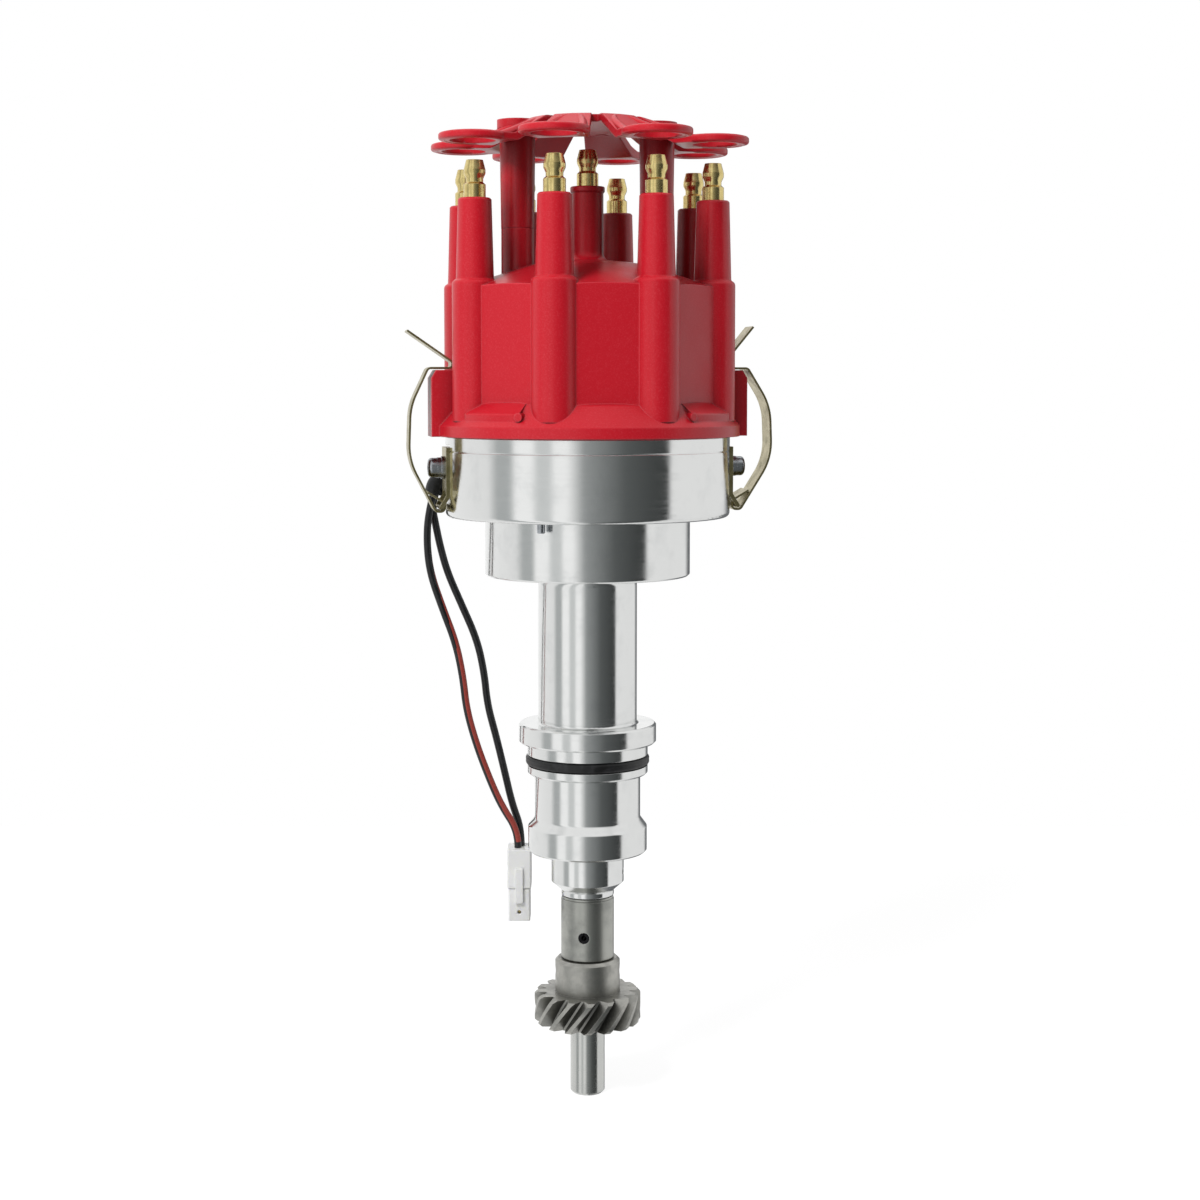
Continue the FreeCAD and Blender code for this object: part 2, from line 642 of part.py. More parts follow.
def gear_section(z, turn):
    """Outline of the toothed rim at one height."""
    pitch = 2 * math.pi / GEAR_TEETH
    mean_r = (GEAR_TIP_R + GEAR_ROOT_R) / 2
    flanks = [(GEAR_ROOT_R, 0.42), (mean_r, 0.25), (GEAR_TIP_R, 0.115)]
    points = []
    for tooth in range(GEAR_TEETH):
        middle = tooth * pitch + turn
        for radius, share in flanks:
            angle = middle - share * pitch
            points.append(Vec(radius * math.cos(angle), radius * math.sin(angle), z))
        for radius, share in reversed(flanks):
            angle = middle + share * pitch
            points.append(Vec(radius * math.cos(angle), radius * math.sin(angle), z))
    return Part.makePolygon(points + [points[0]])


def make_gear():
    """Drive gear: a right-hand helical rim on a hub."""
    height = GEAR_TOP - GEAR_BOTTOM
    mean_r = (GEAR_TIP_R + GEAR_ROOT_R) / 2
    twist = -height * math.tan(math.radians(GEAR_HELIX)) / mean_r
    sections = []
    for step in range(GEAR_STEPS + 1):
        share = step / GEAR_STEPS
        sections.append(gear_section(GEAR_BOTTOM + height * share, -twist * share))
    rim = Part.makeLoft(sections, True, True)
    edge = GEAR_EDGE
    envelope = turned([
        (0, GEAR_BOTTOM), (GEAR_TIP_R - edge, GEAR_BOTTOM), (GEAR_TIP_R, GEAR_BOTTOM + edge),
        (GEAR_TIP_R, GEAR_TOP - edge), (GEAR_TIP_R - edge, GEAR_TOP), (0, GEAR_TOP),
    ])
    rim = rim.common(envelope)
    hub = turned([
        (0, GEAR_BOTTOM + edge), (HUB_R, GEAR_BOTTOM + edge), (HUB_R, HUB_TOP - HUB_CHAMFER),
        (HUB_R - HUB_CHAMFER, HUB_TOP), (0, HUB_TOP),
    ])
    body = rim.fuse(hub).cut(rod(SHAFT_R + PRESS_GAP, Vec(0, 0, GEAR_BOTTOM - 1), Vec(0, 0, HUB_TOP + 1)))
    return cut_pin_holes(body)


def make_collar_pin():
    """Spring pin through collar and shaft."""
    return spring_pin(Vec(0, 0, COLLAR_PIN_Z), collar_pin_direction(), COLLAR_R - PIN_RECESS)


def make_gear_pin():
    """Spring pin through gear hub and shaft."""
    return spring_pin(Vec(0, 0, HUB_PIN_Z), Vec(1, 0, 0), HUB_R - PIN_RECESS)


# Advance mechanism

def make_sleeve():
    """Sleeve that turns on the spindle and carries the reluctor and the advance plate."""
    bore = SPINDLE_R + RUN_GAP
    bottom = SHAFT_SHOULDER + SEAT_GAP
    body = turned([
        (bore, bottom), (SLEEVE_R, bottom), (SLEEVE_R, PLATE_BOTTOM),
        (SPIGOT_R, PLATE_BOTTOM), (SPIGOT_R, PLATE_TOP), (bore, PLATE_TOP),
    ])
    return body.cut(reluctor_pin_rod(SPINDLE_R + 0.6, SLEEVE_R + 1, PRESS_GAP))


def make_reluctor():
    """Eight-pointed trigger wheel."""
    height = RELUCTOR_TOP - RELUCTOR_BOTTOM
    core = tube(RELUCTOR_ROOT_R, SLEEVE_R + PRESS_GAP, RELUCTOR_BOTTOM, RELUCTOR_TOP)
    pieces = [core]
    root = RELUCTOR_ROOT_R - 1.5
    foot, tip = RELUCTOR_FOOT_WIDTH / 2, RELUCTOR_TIP_WIDTH / 2
    tooth = flat_shape([(root, -foot), (RELUCTOR_R, -tip), (RELUCTOR_R, tip), (root, foot)],
                       RELUCTOR_BOTTOM, height)
    for index in range(RELUCTOR_TEETH):
        pieces.append(facing(tooth, PICKUP_AZ + index * 360.0 / RELUCTOR_TEETH))
    return fuse(pieces).cut(reluctor_pin_rod(SLEEVE_R - 1, RELUCTOR_R + 1, PRESS_GAP))


def reluctor_pin_rod(inner, outer, extra):
    """Rod along the reluctor's pin between two radii, with some extra radius."""
    return rod(RELUCTOR_PIN_R + extra, Vec(0, -outer, RELUCTOR_MIDDLE), Vec(0, -inner, RELUCTOR_MIDDLE))


def make_reluctor_pin():
    """Small pin that locks the reluctor to its sleeve."""
    return reluctor_pin_rod(SPINDLE_R + 0.8, RELUCTOR_ROOT_R, 0)


def stop_slot():
    """Curved slot that limits the advance."""
    half = STOP_BUSH_R + 0.3
    ends = [plate_point(STOP_PITCH_R, 0), plate_point(STOP_PITCH_R, -ADVANCE_RANGE)]
    pieces = [rod(half, end + Vec(0, 0, PLATE_BOTTOM - 1), end + Vec(0, 0, PLATE_TOP + 1)) for end in ends]
    arc = sector(STOP_PITCH_R - half, STOP_PITCH_R + half, PLATE_BOTTOM - 1, PLATE_TOP + 1,
                 90 - ADVANCE_RANGE, 90)
    return fuse(pieces + [arc])


def make_advance_plate():
    """Plate of the advance mechanism, welded to the sleeve."""
    body = tube(PLATE_R, SPIGOT_R + PRESS_GAP, PLATE_BOTTOM, PLATE_TOP)
    body = body.cut(stop_slot())
    for turn in (0, 180):
        for radius, pitch_r, angle in ((WEIGHT_PIN_R, WEIGHT_PIN_PITCH_R, PIN_ANGLE),
                                       (ROTOR_POST_R / 2, ROTOR_POST_PITCH_R, ROTOR_POST_AZ)):
            foot = plate_point(pitch_r, angle + turn, PLATE_BOTTOM - 1)
            body = body.cut(rod(radius + PRESS_GAP, foot, foot + Vec(0, 0, PLATE_THICK + 2)))
    return body


def make_weight_pins():
    """Pivot pins of the weights, riveted in the plate."""
    pins = []
    for turn in (0, 180):
        foot = plate_point(WEIGHT_PIN_PITCH_R, PIN_ANGLE + turn, PLATE_BOTTOM)
        pins.append(rod(WEIGHT_PIN_R, foot, Vec(foot.x, foot.y, POST_TOP)))
    return Part.makeCompound(pins)


def make_weight(turn):
    """Flyweight: a curved arm round the cam with a toe beside its pivot."""
    bottom = PLATE_TOP + SEAT_GAP
    top = CAM_TOP
    last_az = PIN_ANGLE + 90
    arm = sector(WEIGHT_INNER_R, WEIGHT_OUTER_R, bottom, top, last_az - WEIGHT_SPAN, last_az)
    foot = plate_point(WEIGHT_PIN_PITCH_R, PIN_ANGLE, bottom)
    up = Vec(0, 0, top - bottom)
    boss = rod(WEIGHT_BOSS_R, foot, foot + up)
    toe_foot = plate_point(TOE_PITCH_R, PIN_ANGLE, bottom)
    toe = rod(TOE_R, toe_foot, toe_foot + up)
    web_length = WEIGHT_PIN_PITCH_R - TOE_PITCH_R
    web = Part.makeBox(web_length, 2 * TOE_R, up.z, Vec(TOE_PITCH_R, -TOE_R, bottom))
    web.rotate(ORIGIN, Z_AXIS, PIN_ANGLE)
    body = fuse([arm, boss, toe, web])
    body = body.cut(rod(WEIGHT_PIN_R + RUN_GAP, foot - up, foot + up * 2))
    body.rotate(ORIGIN, Z_AXIS, turn)
    return body


def make_weight_clips():
    """Retaining clips above the weights, on their pins."""
    clips = []
    for turn in (0, 180):
        foot = plate_point(WEIGHT_PIN_PITCH_R, PIN_ANGLE + turn, CAM_TOP + SEAT_GAP)
        disc = rod(WEIGHT_PIN_R + 1.2, foot, foot + Vec(0, 0, 0.6))
        disc = disc.cut(rod(WEIGHT_PIN_R + PRESS_GAP, foot - Z_AXIS, foot + Z_AXIS * 2))
        mouth = block((1.6, 2 * WEIGHT_PIN_R + 3, 2), ORIGIN)
        mouth.translate(foot + Vec(0, -WEIGHT_PIN_R - 1.6, 0))
        clips.append(disc.cut(mouth))
    return Part.makeCompound(clips)


def make_centre_cam():
    """Cam pressed on the spindle: two lobes beside the weights' toes, spring posts and a stop pin."""
    up = Vec(0, 0, WEIGHT_THICK)
    pieces = [rod(CAM_HUB_R, Vec(0, 0, CAM_BOTTOM), Vec(0, 0, CAM_TOP))]
    for turn in (0, 180):
        lobe_angle = PIN_ANGLE - TOE_STEP + turn
        tip = plate_point(TOE_PITCH_R, lobe_angle, CAM_BOTTOM)
        pieces.append(rod(TOE_R, tip, tip + up))
        web = Part.makeBox(TOE_PITCH_R, 2 * TOE_R, WEIGHT_THICK, Vec(0, -TOE_R, CAM_BOTTOM))
        web.rotate(ORIGIN, Z_AXIS, lobe_angle)
        pieces.append(web)
        post = plate_point(CAM_POST_PITCH_R, 90 + turn, CAM_BOTTOM)
        post_pad_r = 2 * CAM_POST_R
        pieces.append(rod(post_pad_r, post, post + up))
        neck = Part.makeBox(CAM_POST_PITCH_R, 2 * post_pad_r, WEIGHT_THICK, Vec(0, -post_pad_r, CAM_BOTTOM))
        neck.rotate(ORIGIN, Z_AXIS, 90 + turn)
        pieces.append(neck)
        pieces.append(rod(CAM_POST_R, post, Vec(post.x, post.y, POST_TOP)))
    stop = plate_point(STOP_PITCH_R, 0, CAM_BOTTOM)
    pieces.append(rod(STOP_BUSH_R, stop, stop + up))
    stop_corner = Vec(0, -STOP_BUSH_R, CAM_BOTTOM)
    pieces.append(Part.makeBox(STOP_PITCH_R, 2 * STOP_BUSH_R, WEIGHT_THICK, stop_corner))
    pieces.append(rod(STOP_PIN_R, Vec(stop.x, stop.y, PLATE_BOTTOM - 1.0), stop + up))
    body = fuse(pieces)
    return body.cut(rod(SPINDLE_R + PRESS_GAP, Vec(0, 0, CAM_BOTTOM - 1), Vec(0, 0, CAM_TOP + 1)))


def make_stop_bushing():
    """Bushing on the stop pin, in the slot of the plate."""
    foot = plate_point(STOP_PITCH_R, 0, PLATE_BOTTOM - 0.8)
    top = Vec(foot.x, foot.y, CAM_BOTTOM - 0.05)
    return rod(STOP_BUSH_R, foot, top).cut(rod(STOP_PIN_R + PRESS_GAP, foot - Z_AXIS, top + Z_AXIS))


def make_advance_spring(turn):
    """Coiled tension spring from a weight pin to a post of the cam."""
    start = plate_point(WEIGHT_PIN_PITCH_R, PIN_ANGLE, SPRING_Z)
    end = plate_point(CAM_POST_PITCH_R, 90, SPRING_Z)
    eye_outer = WEIGHT_PIN_R + 2 * SPRING_WIRE_R + 0.1
    wire = 2 * SPRING_WIRE_R
    half = Vec(0, 0, SPRING_WIRE_R)
    pieces = []
    holes = []
    for place, pin_r in ((start, WEIGHT_PIN_R), (end, CAM_POST_R)):
        pieces.append(rod(pin_r + 0.1 + wire, place - half, place + half))
        holes.append(rod(pin_r + 0.1, place - half * 3, place + half * 3))
    coil_start = start + Vec(eye_outer + 0.8, 0, 0)
    coil_end = end - Vec(CAM_POST_R + wire + 1.2, 0, 0)
    pieces.append(rod(SPRING_R, coil_start, coil_end))
    pieces.append(rod(SPRING_WIRE_R, start + Vec(WEIGHT_PIN_R + 0.3, 0, 0), coil_start + Vec(0.5, 0, 0)))
    pieces.append(rod(SPRING_WIRE_R, coil_end - Vec(0.5, 0, 0), end - Vec(CAM_POST_R + 0.3, 0, 0)))
    body = fuse(pieces)
    for hole in holes:
        body = body.cut(hole)
    body.rotate(ORIGIN, Z_AXIS, turn)
    return body


# Rotor

def rotor_post_points(z):
    """Places of the two rotor posts at a height."""
    return [plate_point(ROTOR_POST_PITCH_R, ROTOR_POST_AZ + turn, z) for turn in (0, 180)]


def make_rotor_posts():
    """Stand-offs between the advance plate and the rotor."""
    posts = []
    for foot in rotor_post_points(PLATE_TOP):
        post = rod(ROTOR_POST_R, foot, Vec(foot.x, foot.y, ROTOR_BASE_Z))
        stem = rod(ROTOR_POST_R / 2, foot - Vec(0, 0, PLATE_THICK), foot + Z_AXIS)
        bore_end = Vec(foot.x, foot.y, ROTOR_BASE_Z + 1)
        bore = rod(ROTOR_SCREW_R, Vec(foot.x, foot.y, ROTOR_BASE_Z - 6), bore_end)
        posts.append(post.fuse(stem).cut(bore))
    return Part.makeCompound(posts)


def make_rotor():
    """Moulded rotor: a disc, a tapered hub and an arm under the blade."""
    base_top = ROTOR_BASE_Z + ROTOR_BASE_THICK
    body = turned([
        (0, ROTOR_BASE_Z + 1.5), (ROTOR_HUB_R - 4, ROTOR_BASE_Z + 1.5), (ROTOR_HUB_R - 3, ROTOR_BASE_Z),
        (ROTOR_BASE_R, ROTOR_BASE_Z), (ROTOR_BASE_R, base_top, 0.8), (ROTOR_HUB_R, base_top, 2.0),
        (ROTOR_HUB_TOP_R, BLADE_Z), (0, BLADE_Z),
    ])
    tip_r = CONTACT_REACH_R - BLADE_GAP - 3.0
    arm_width = BLADE_WIDTH + 4
    side = outline([
        (0, BLADE_Z), (tip_r, BLADE_Z), (tip_r, BLADE_Z - 3.5), (ROTOR_HUB_R, base_top), (0, base_top),
    ], upright)
    arm = Part.Face(side).extrude(Vec(0, arm_width, 0))
    arm.translate(Vec(0, -arm_width / 2, 0))
    body = body.fuse(facing(arm, ROTOR_ARM_AZ)).removeSplitter()
    for point in rotor_post_points(ROTOR_BASE_Z - 1):
        body = body.cut(rod(ROTOR_SCREW_R + 0.2, point, point + Vec(0, 0, ROTOR_BASE_THICK + 2)))
    return body


def make_rotor_blade():
    """Brass strip that carries the spark from the centre to the tip."""
    tip_r = CONTACT_REACH_R - BLADE_GAP
    back = 4.0
    strip = flat_shape([(-back, -BLADE_WIDTH / 2, 1.0), (tip_r, -BLADE_WIDTH / 2), (tip_r, BLADE_WIDTH / 2),
                        (-back, BLADE_WIDTH / 2, 1.0)], BLADE_Z, BLADE_THICK)
    return facing(strip, ROTOR_ARM_AZ)


def make_contact_spring():
    """Bent leaf on the blade that meets the carbon brush."""
    low = BLADE_Z + BLADE_THICK
    thick = 0.4
    width = BLADE_WIDTH - 1.5
    rise = CONTACT_SPRING_TOP - low
    side = outline([
        (9, low), (9, low + thick), (6, low + thick, 0.6), (2, low + rise, 1.0), (-2, low + rise),
        (-2, low + rise - thick), (1.8, low + rise - thick, 0.6), (5.8, low, 0.6),
    ], upright)
    leaf = Part.Face(side).extrude(Vec(0, width, 0))
    leaf.translate(Vec(0, -width / 2, 0))
    return facing(leaf, ROTOR_ARM_AZ)


def make_rotor_screws():
    """Screws that hold the rotor on its posts."""
    top = ROTOR_BASE_Z + ROTOR_BASE_THICK
    screws = [pan_head_screw(point, Z_AXIS, ROTOR_SCREW_R - PRESS_GAP, ROTOR_BASE_THICK + 5, 2.8, 1.8)
              for point in rotor_post_points(top)]
    return Part.makeCompound(screws)


# Base plate, module and pickup

def make_base_plate():
    """Aluminium plate on the bowl's floor that carries module and pickup."""
    body = tube(BOWL_BORE_R - BASE_GAP, BASE_BORE_R, FLOOR_Z, BASE_TOP)
    for az in BASE_SCREW_AZ:
        foot = polar(BASE_SCREW_PITCH_R, az, FLOOR_Z - 1)
        body = body.cut(rod(BASE_SCREW_R + PRESS_GAP, foot, foot + Vec(0, 0, BASE_THICK + 2)))
    pin = polar(LOCATING_PIN_PITCH_R, LOCATING_PIN_AZ, FLOOR_Z - 1)
    return body.cut(rod(LOCATING_PIN_R + PRESS_GAP, pin, pin + Vec(0, 0, BASE_THICK + 2)))


def make_base_screws():
    """Screws of the base plate."""
    screws = []
    for az in BASE_SCREW_AZ:
        seat = polar(BASE_SCREW_PITCH_R, az, BASE_TOP)
        screws.append(pan_head_screw(seat, Z_AXIS, BASE_SCREW_R, BASE_THICK + BASE_SCREW_GRIP,
                                     BASE_SCREW_HEAD_R, BASE_SCREW_HEAD))
    return Part.makeCompound(screws)


def module_screw_points(z):
    """Places of the module's screws, near its ends."""
    azimuths = (MODULE_AZ[0] + MODULE_EAR_INSET, MODULE_AZ[1] - MODULE_EAR_INSET)
    return [polar(MODULE_SCREW_PITCH_R, az, z) for az in azimuths]


def make_module():
    """Potted ignition module, a curved block along the bowl's wall."""
    body = sector(MODULE_INNER_R, MODULE_OUTER_R, BASE_TOP, MODULE_TOP, MODULE_AZ[0], MODULE_AZ[1])
    for point in module_screw_points(BASE_TOP + MODULE_EAR):
        body = body.cut(rod(MODULE_EAR_R, point, Vec(point.x, point.y, MODULE_TOP + 1)))
        body = body.cut(rod(BASE_SCREW_R + PRESS_GAP, Vec(point.x, point.y, BASE_TOP - 1), point + Z_AXIS))
    lead_out = rod(GROMMET_R - 0.8, polar(MODULE_OUTER_R - 2, GROMMET_AZ, GROMMET_Z),
                   polar(BOWL_BORE_R - 1.0, GROMMET_AZ, GROMMET_Z))
    return body.fuse(lead_out).removeSplitter()


def make_module_screws():
    """Screws of the ignition module."""
    grip = MODULE_EAR - 0.2
    points = module_screw_points(BASE_TOP + MODULE_EAR)
    return Part.makeCompound([
        pan_head_screw(point, Z_AXIS, BASE_SCREW_R, grip, BASE_SCREW_HEAD_R, BASE_SCREW_HEAD)
        for point in points
    ])


def make_pickup_coil():
    """Bobbin of the magnetic pickup, on a foot."""
    inner = RELUCTOR_R + PICKUP_GAP + PICKUP_NOSE
    corner = Vec(inner, -PICKUP_WIDTH / 2, BASE_TOP)
    body = Part.makeBox(PICKUP_LENGTH, PICKUP_WIDTH, MODULE_TOP - BASE_TOP, corner)
    body = body.makeFillet(2.0, upright_edges(body))
    body = body.cut(pickup_pole_blank(PRESS_GAP))
    return facing(body, PICKUP_AZ)


def pickup_pole_blank(extra):
    """Pole piece drawn along +X, with some extra on every side."""
    start = RELUCTOR_R + PICKUP_GAP
    width = PICKUP_POLE + 2 * extra
    bottom = RELUCTOR_BOTTOM + 1 - extra
    height = RELUCTOR_TOP - RELUCTOR_BOTTOM - 2 + 2 * extra
    return Part.makeBox(PICKUP_LENGTH + PICKUP_NOSE + extra, width, height, Vec(start, -width / 2, bottom))


def make_pickup_pole():
    """Steel pole piece that points at the reluctor."""
    return facing(pickup_pole_blank(0), PICKUP_AZ)


def make_locating_pin():
    """Steel pin through the bowl's floor that sets the base plate."""
    foot = polar(LOCATING_PIN_PITCH_R, LOCATING_PIN_AZ, LOCATING_PIN_BOTTOM)
    pin = rod(LOCATING_PIN_R, foot, Vec(foot.x, foot.y, BASE_TOP))
    return pin.makeChamfer(0.3, [min(pin.Edges, key=lambda edge: edge.CenterOfMass.z)])


# Cap and terminals

def cap_blank():
    """Outer form of the cap without its towers."""
    dome_edge = CAP_WALL_FACE / math.cos(math.pi / TOWER_COUNT)
    dome = turned([
        (0, BOWL_TOP), (dome_edge, BOWL_TOP), (dome_edge, CAP_WALL_TOP, 3.0),
        (ROOF_BREAK_R, COIL_TOWER_FOOT - 1.2, 20.0), (COIL_TOWER_R, COIL_TOWER_FOOT), (0, COIL_TOWER_FOOT),
    ])
    corners = [polar(dome_edge, az, BOWL_TOP) for az in tower_azimuths()]
    rise = Vec(0, 0, COIL_TOWER_FOOT - BOWL_TOP + 1)
    prism = Part.Face(Part.makePolygon(corners + [corners[0]])).extrude(rise)
    skirt_foot = BOWL_TOP + CAP_BAND
    skirt = turned([
        (0, BOWL_TOP), (CAP_R, BOWL_TOP), (CAP_R, skirt_foot, 0.5),
        (CAP_WALL_FACE + 1.0, CAP_SKIRT_TOP - 0.6, 2.0), (CAP_WALL_FACE - 1.5, CAP_SKIRT_TOP),
        (0, CAP_SKIRT_TOP),
    ])
    return [dome.common(prism), skirt]


def tower(az):
    """Rib on the wall with its round shoulder and tapered tower."""
    foot = polar(TOWER_PITCH_R, az)
    rib = turned([
        (0, RIB_BOTTOM), (RIB_R, RIB_BOTTOM), (RIB_R, TOWER_SHOULDER, 1.6),
        (TOWER_BASE_R, TOWER_SHOULDER + 0.6, 0.6), (TOWER_TOP_R, TOWER_TOP - 0.5),
        (TOWER_TOP_R - 0.5, TOWER_TOP), (0, TOWER_TOP),
    ])
    rib.translate(foot)
    return rib


def coil_tower():
    """Centre tower with a lip at its top and a flared foot."""
    lip = COIL_TOWER_R + COIL_LIP
    return turned([
        (0, CAP_WALL_TOP), (COIL_TOWER_R + COIL_FLARE, CAP_WALL_TOP),
        (COIL_TOWER_R + COIL_FLARE, COIL_TOWER_FOOT - 0.8),
        (COIL_TOWER_R, COIL_TOWER_FOOT + 0.4, 3.0), (COIL_TOWER_R, COIL_TOWER_TOP - 2.2),
        (lip, COIL_TOWER_TOP - 1.6), (lip, COIL_TOWER_TOP, 0.4), (0, COIL_TOWER_TOP),
    ])


def clip_lug(az):
    """Lug that a spring clip presses on."""
    profile = [(CAP_WALL_FACE - 2, BOWL_TOP), (LUG_REACH, BOWL_TOP), (LUG_REACH, LUG_TOP - LUG_CHAMFER),
               (LUG_REACH - LUG_CHAMFER * 0.6, LUG_TOP), (CAP_WALL_FACE - 2, LUG_TOP)]
    lug = Part.Face(outline(profile, upright)).extrude(Vec(0, LUG_WIDTH, 0))
    lug.translate(Vec(0, -LUG_WIDTH / 2, 0))
    return facing(lug, az)


def skirt_pad(tower_az, side):
    """Raised pad on the skirt beside a front tower, with the peg at its end; side is -1 or 1."""
    pad = turned([
        (CAP_WALL_FACE - 2, BOWL_TOP + 1), (PAD_R, BOWL_TOP + 1), (PAD_R, PAD_TOP, 0.4),
        (CAP_WALL_FACE + 0.3, CAP_SKIRT_TOP, 0.6), (CAP_WALL_FACE - 2, CAP_SKIRT_TOP),
    ])
    peg_az = tower_az + side * PEG_STEP
    ends = sorted((peg_az, peg_az + side * PAD_SPAN))
    wedge = sector(CAP_WALL_FACE - 3, CAP_R, BOWL_TOP, CAP_SKIRT_TOP + 1, ends[0], ends[1])
    peg_z = PAD_TOP - PEG_R * 0.6
    peg = rod(PEG_R, polar(CAP_WALL_FACE, peg_az, peg_z), polar(PAD_R + 0.5, peg_az, peg_z))
    return [pad.common(wedge), peg]


def retainer_boss(az):
    """Boss on the roof that a leg of the wire retainer stands on."""
    return rod(LEG_FOOT_R - 0.05, polar(LEG_PITCH_R, az, CAP_WALL_TOP), polar(LEG_PITCH_R, az, LEG_SPLIT))


def cap_cavity():
    """Space inside the cap, with the boss of the carbon brush standing in it."""
    roof = CAP_WALL_TOP - CAP_ROOF
    centre_roof = COIL_TOWER_FOOT - CAP_ROOF - 1.5
    cavity = turned([
        (0, BOWL_TOP - SPIGOT_DEPTH - 1), (CAP_BORE_R, BOWL_TOP - SPIGOT_DEPTH - 1), (CAP_BORE_R, roof, 4.0),
        (ROOF_BREAK_R, centre_roof), (0, centre_roof),
    ])
    boss = Part.makeCylinder(BRUSH_BOSS_R, centre_roof - BRUSH_MOUTH + 1, Vec(0, 0, BRUSH_MOUTH))
    return cavity.cut(boss)


def make_cap():
    """Moulded cap with eight plug towers and the coil tower."""
    pieces = cap_blank()
    pieces += [tower(az) for az in tower_azimuths()]
    pieces.append(coil_tower())
    for az in (CLIP_LEFT_AZ, CLIP_RIGHT_AZ):
        pieces.append(clip_lug(az))
        pieces.append(retainer_boss(az))
    pieces += skirt_pad(TOWER_FIRST_AZ, -1)
    pieces += skirt_pad(TOWER_FIRST_AZ + 360.0 / TOWER_COUNT, 1)
    spigot_r = BOWL_BORE_R - PRESS_GAP * 10
    pieces.append(Part.makeCylinder(spigot_r, SPIGOT_DEPTH + 1, Vec(0, 0, BOWL_TOP - SPIGOT_DEPTH)))
    body = pieces[0].multiFuse(pieces[1:])
    body = body.cut(cap_cavity())
    tools = [contact_blank(az, PRESS_GAP) for az in tower_azimuths()]
    stem_end = Vec(0, 0, COIL_TOWER_TOP + 1)
    tools.append(rod(TERMINAL_STEM_R + PRESS_GAP, Vec(0, 0, COIL_STEM_BOTTOM), stem_end))
    tools.append(rod(BRUSH_R + SEAT_GAP, Vec(0, 0, BRUSH_MOUTH - 1), Vec(0, 0, COIL_STEM_BOTTOM)))
    for az in (CLIP_LEFT_AZ, CLIP_RIGHT_AZ):
        top = polar(LEG_PITCH_R, az, LEG_SPLIT + 1)
        tools.append(rod(RETAINER_SCREW_R + PRESS_GAP, top - Vec(0, 0, 12), top))
    body = body.cut(tools[0].multiFuse(tools[1:]))
    return body.removeSplitter()


def contact_blank(az, extra):
    """Stem of a plug terminal down to its contact at the cap's bore."""
    foot = polar(TOWER_PITCH_R, az, CONTACT_Z)
    radius = TERMINAL_STEM_R + extra
    stem = rod(radius, foot, Vec(foot.x, foot.y, TOWER_TOP + extra))
    shoe = rod(radius, polar(CONTACT_REACH_R, az, CONTACT_Z), foot)
    return fuse([stem, shoe, Part.makeSphere(radius, foot)])


def terminal_head(bottom):
    """Brass post that a spark plug lead snaps on, with its waist."""
    top = bottom + TERMINAL_HEIGHT
    step = bottom + TERMINAL_FOOT
    return turned([
        (0, bottom), (TERMINAL_FOOT_R, bottom), (TERMINAL_FOOT_R, step - 0.3), (TERMINAL_FOOT_R - 0.3, step),
        (TERMINAL_NECK_R, step + 0.4, 0.3), (TERMINAL_NECK_R, step + 1.6, 1.0),
        (TERMINAL_BULGE_R, step + 3.2, 1.0), (TERMINAL_BULGE_R, step + 4.4, 0.8),
        (TERMINAL_TIP_R, top), (0, top),
    ])


def make_plug_terminals():
    """The eight brass plug terminals."""
    terminals = []
    for az in tower_azimuths():
        head = terminal_head(TOWER_TOP)
        head.translate(polar(TOWER_PITCH_R, az))
        terminals.append(fuse([contact_blank(az, 0), head]))
    return Part.makeCompound(terminals)


def make_coil_terminal():
    """Brass terminal of the coil lead."""
    stem = rod(TERMINAL_STEM_R, Vec(0, 0, COIL_STEM_BOTTOM), Vec(0, 0, COIL_TOWER_TOP + 1))
    return fuse([stem, terminal_head(COIL_TOWER_TOP)])


def make_carbon_brush():
    """Carbon brush that runs on the rotor's leaf."""
    return turned([(0, BRUSH_BOTTOM), (BRUSH_R - 0.8, BRUSH_BOTTOM), (BRUSH_R, BRUSH_BOTTOM + 0.8),
                   (BRUSH_R, BRUSH_BOTTOM + BRUSH_LENGTH), (0, BRUSH_BOTTOM + BRUSH_LENGTH)])


def make_brush_spring():
    """Spring behind the carbon brush, as the tube that it fills."""
    bottom = BRUSH_BOTTOM + BRUSH_LENGTH
    return tube(BRUSH_R - 0.2, BRUSH_R - 0.8, bottom, COIL_STEM_BOTTOM)


# Wire retainer

def petal_arm(az):
    """Plan of one arm, from the hub out to its ring."""
    far = PETAL_PITCH_R
    near = HUB_DISC_R - 8
    spread = PETAL_R - 0.6
    arm = flat_shape([
        (near, -ARM_HALF_WIDTH + 1), (far, -spread), (far, spread), (near, ARM_HALF_WIDTH - 1),
    ], PETAL_Z - 10, 30)
    return facing(arm, az)


def petal_ring(az):
    """Ring that a lead passes through, with rounded rims."""
    half = PETAL_THICK / 2
    rounding = half * 0.7
    ring = turned([
        (PETAL_HOLE_R, PETAL_Z - half, rounding), (PETAL_R, PETAL_Z - half, rounding),
        (PETAL_R, PETAL_Z + half, rounding), (PETAL_HOLE_R, PETAL_Z + half, rounding),
    ])
    ring.translate(polar(PETAL_PITCH_R, az))
    return ring


def retainer_leg(az):
    """Leg of the retainer and the pad above it."""
    leg = Part.makeCone(LEG_FOOT_R, LEG_R, HUB_DISC_TOP - 2.0 - LEG_SPLIT, Vec(0, 0, LEG_SPLIT))
    pad = Part.makeCylinder(LEG_R + 0.8, 3.0, Vec(0, 0, HUB_DISC_TOP - 3.4))
    for piece in (leg, pad):
        piece.translate(polar(LEG_PITCH_R, az))
    return [leg, pad]


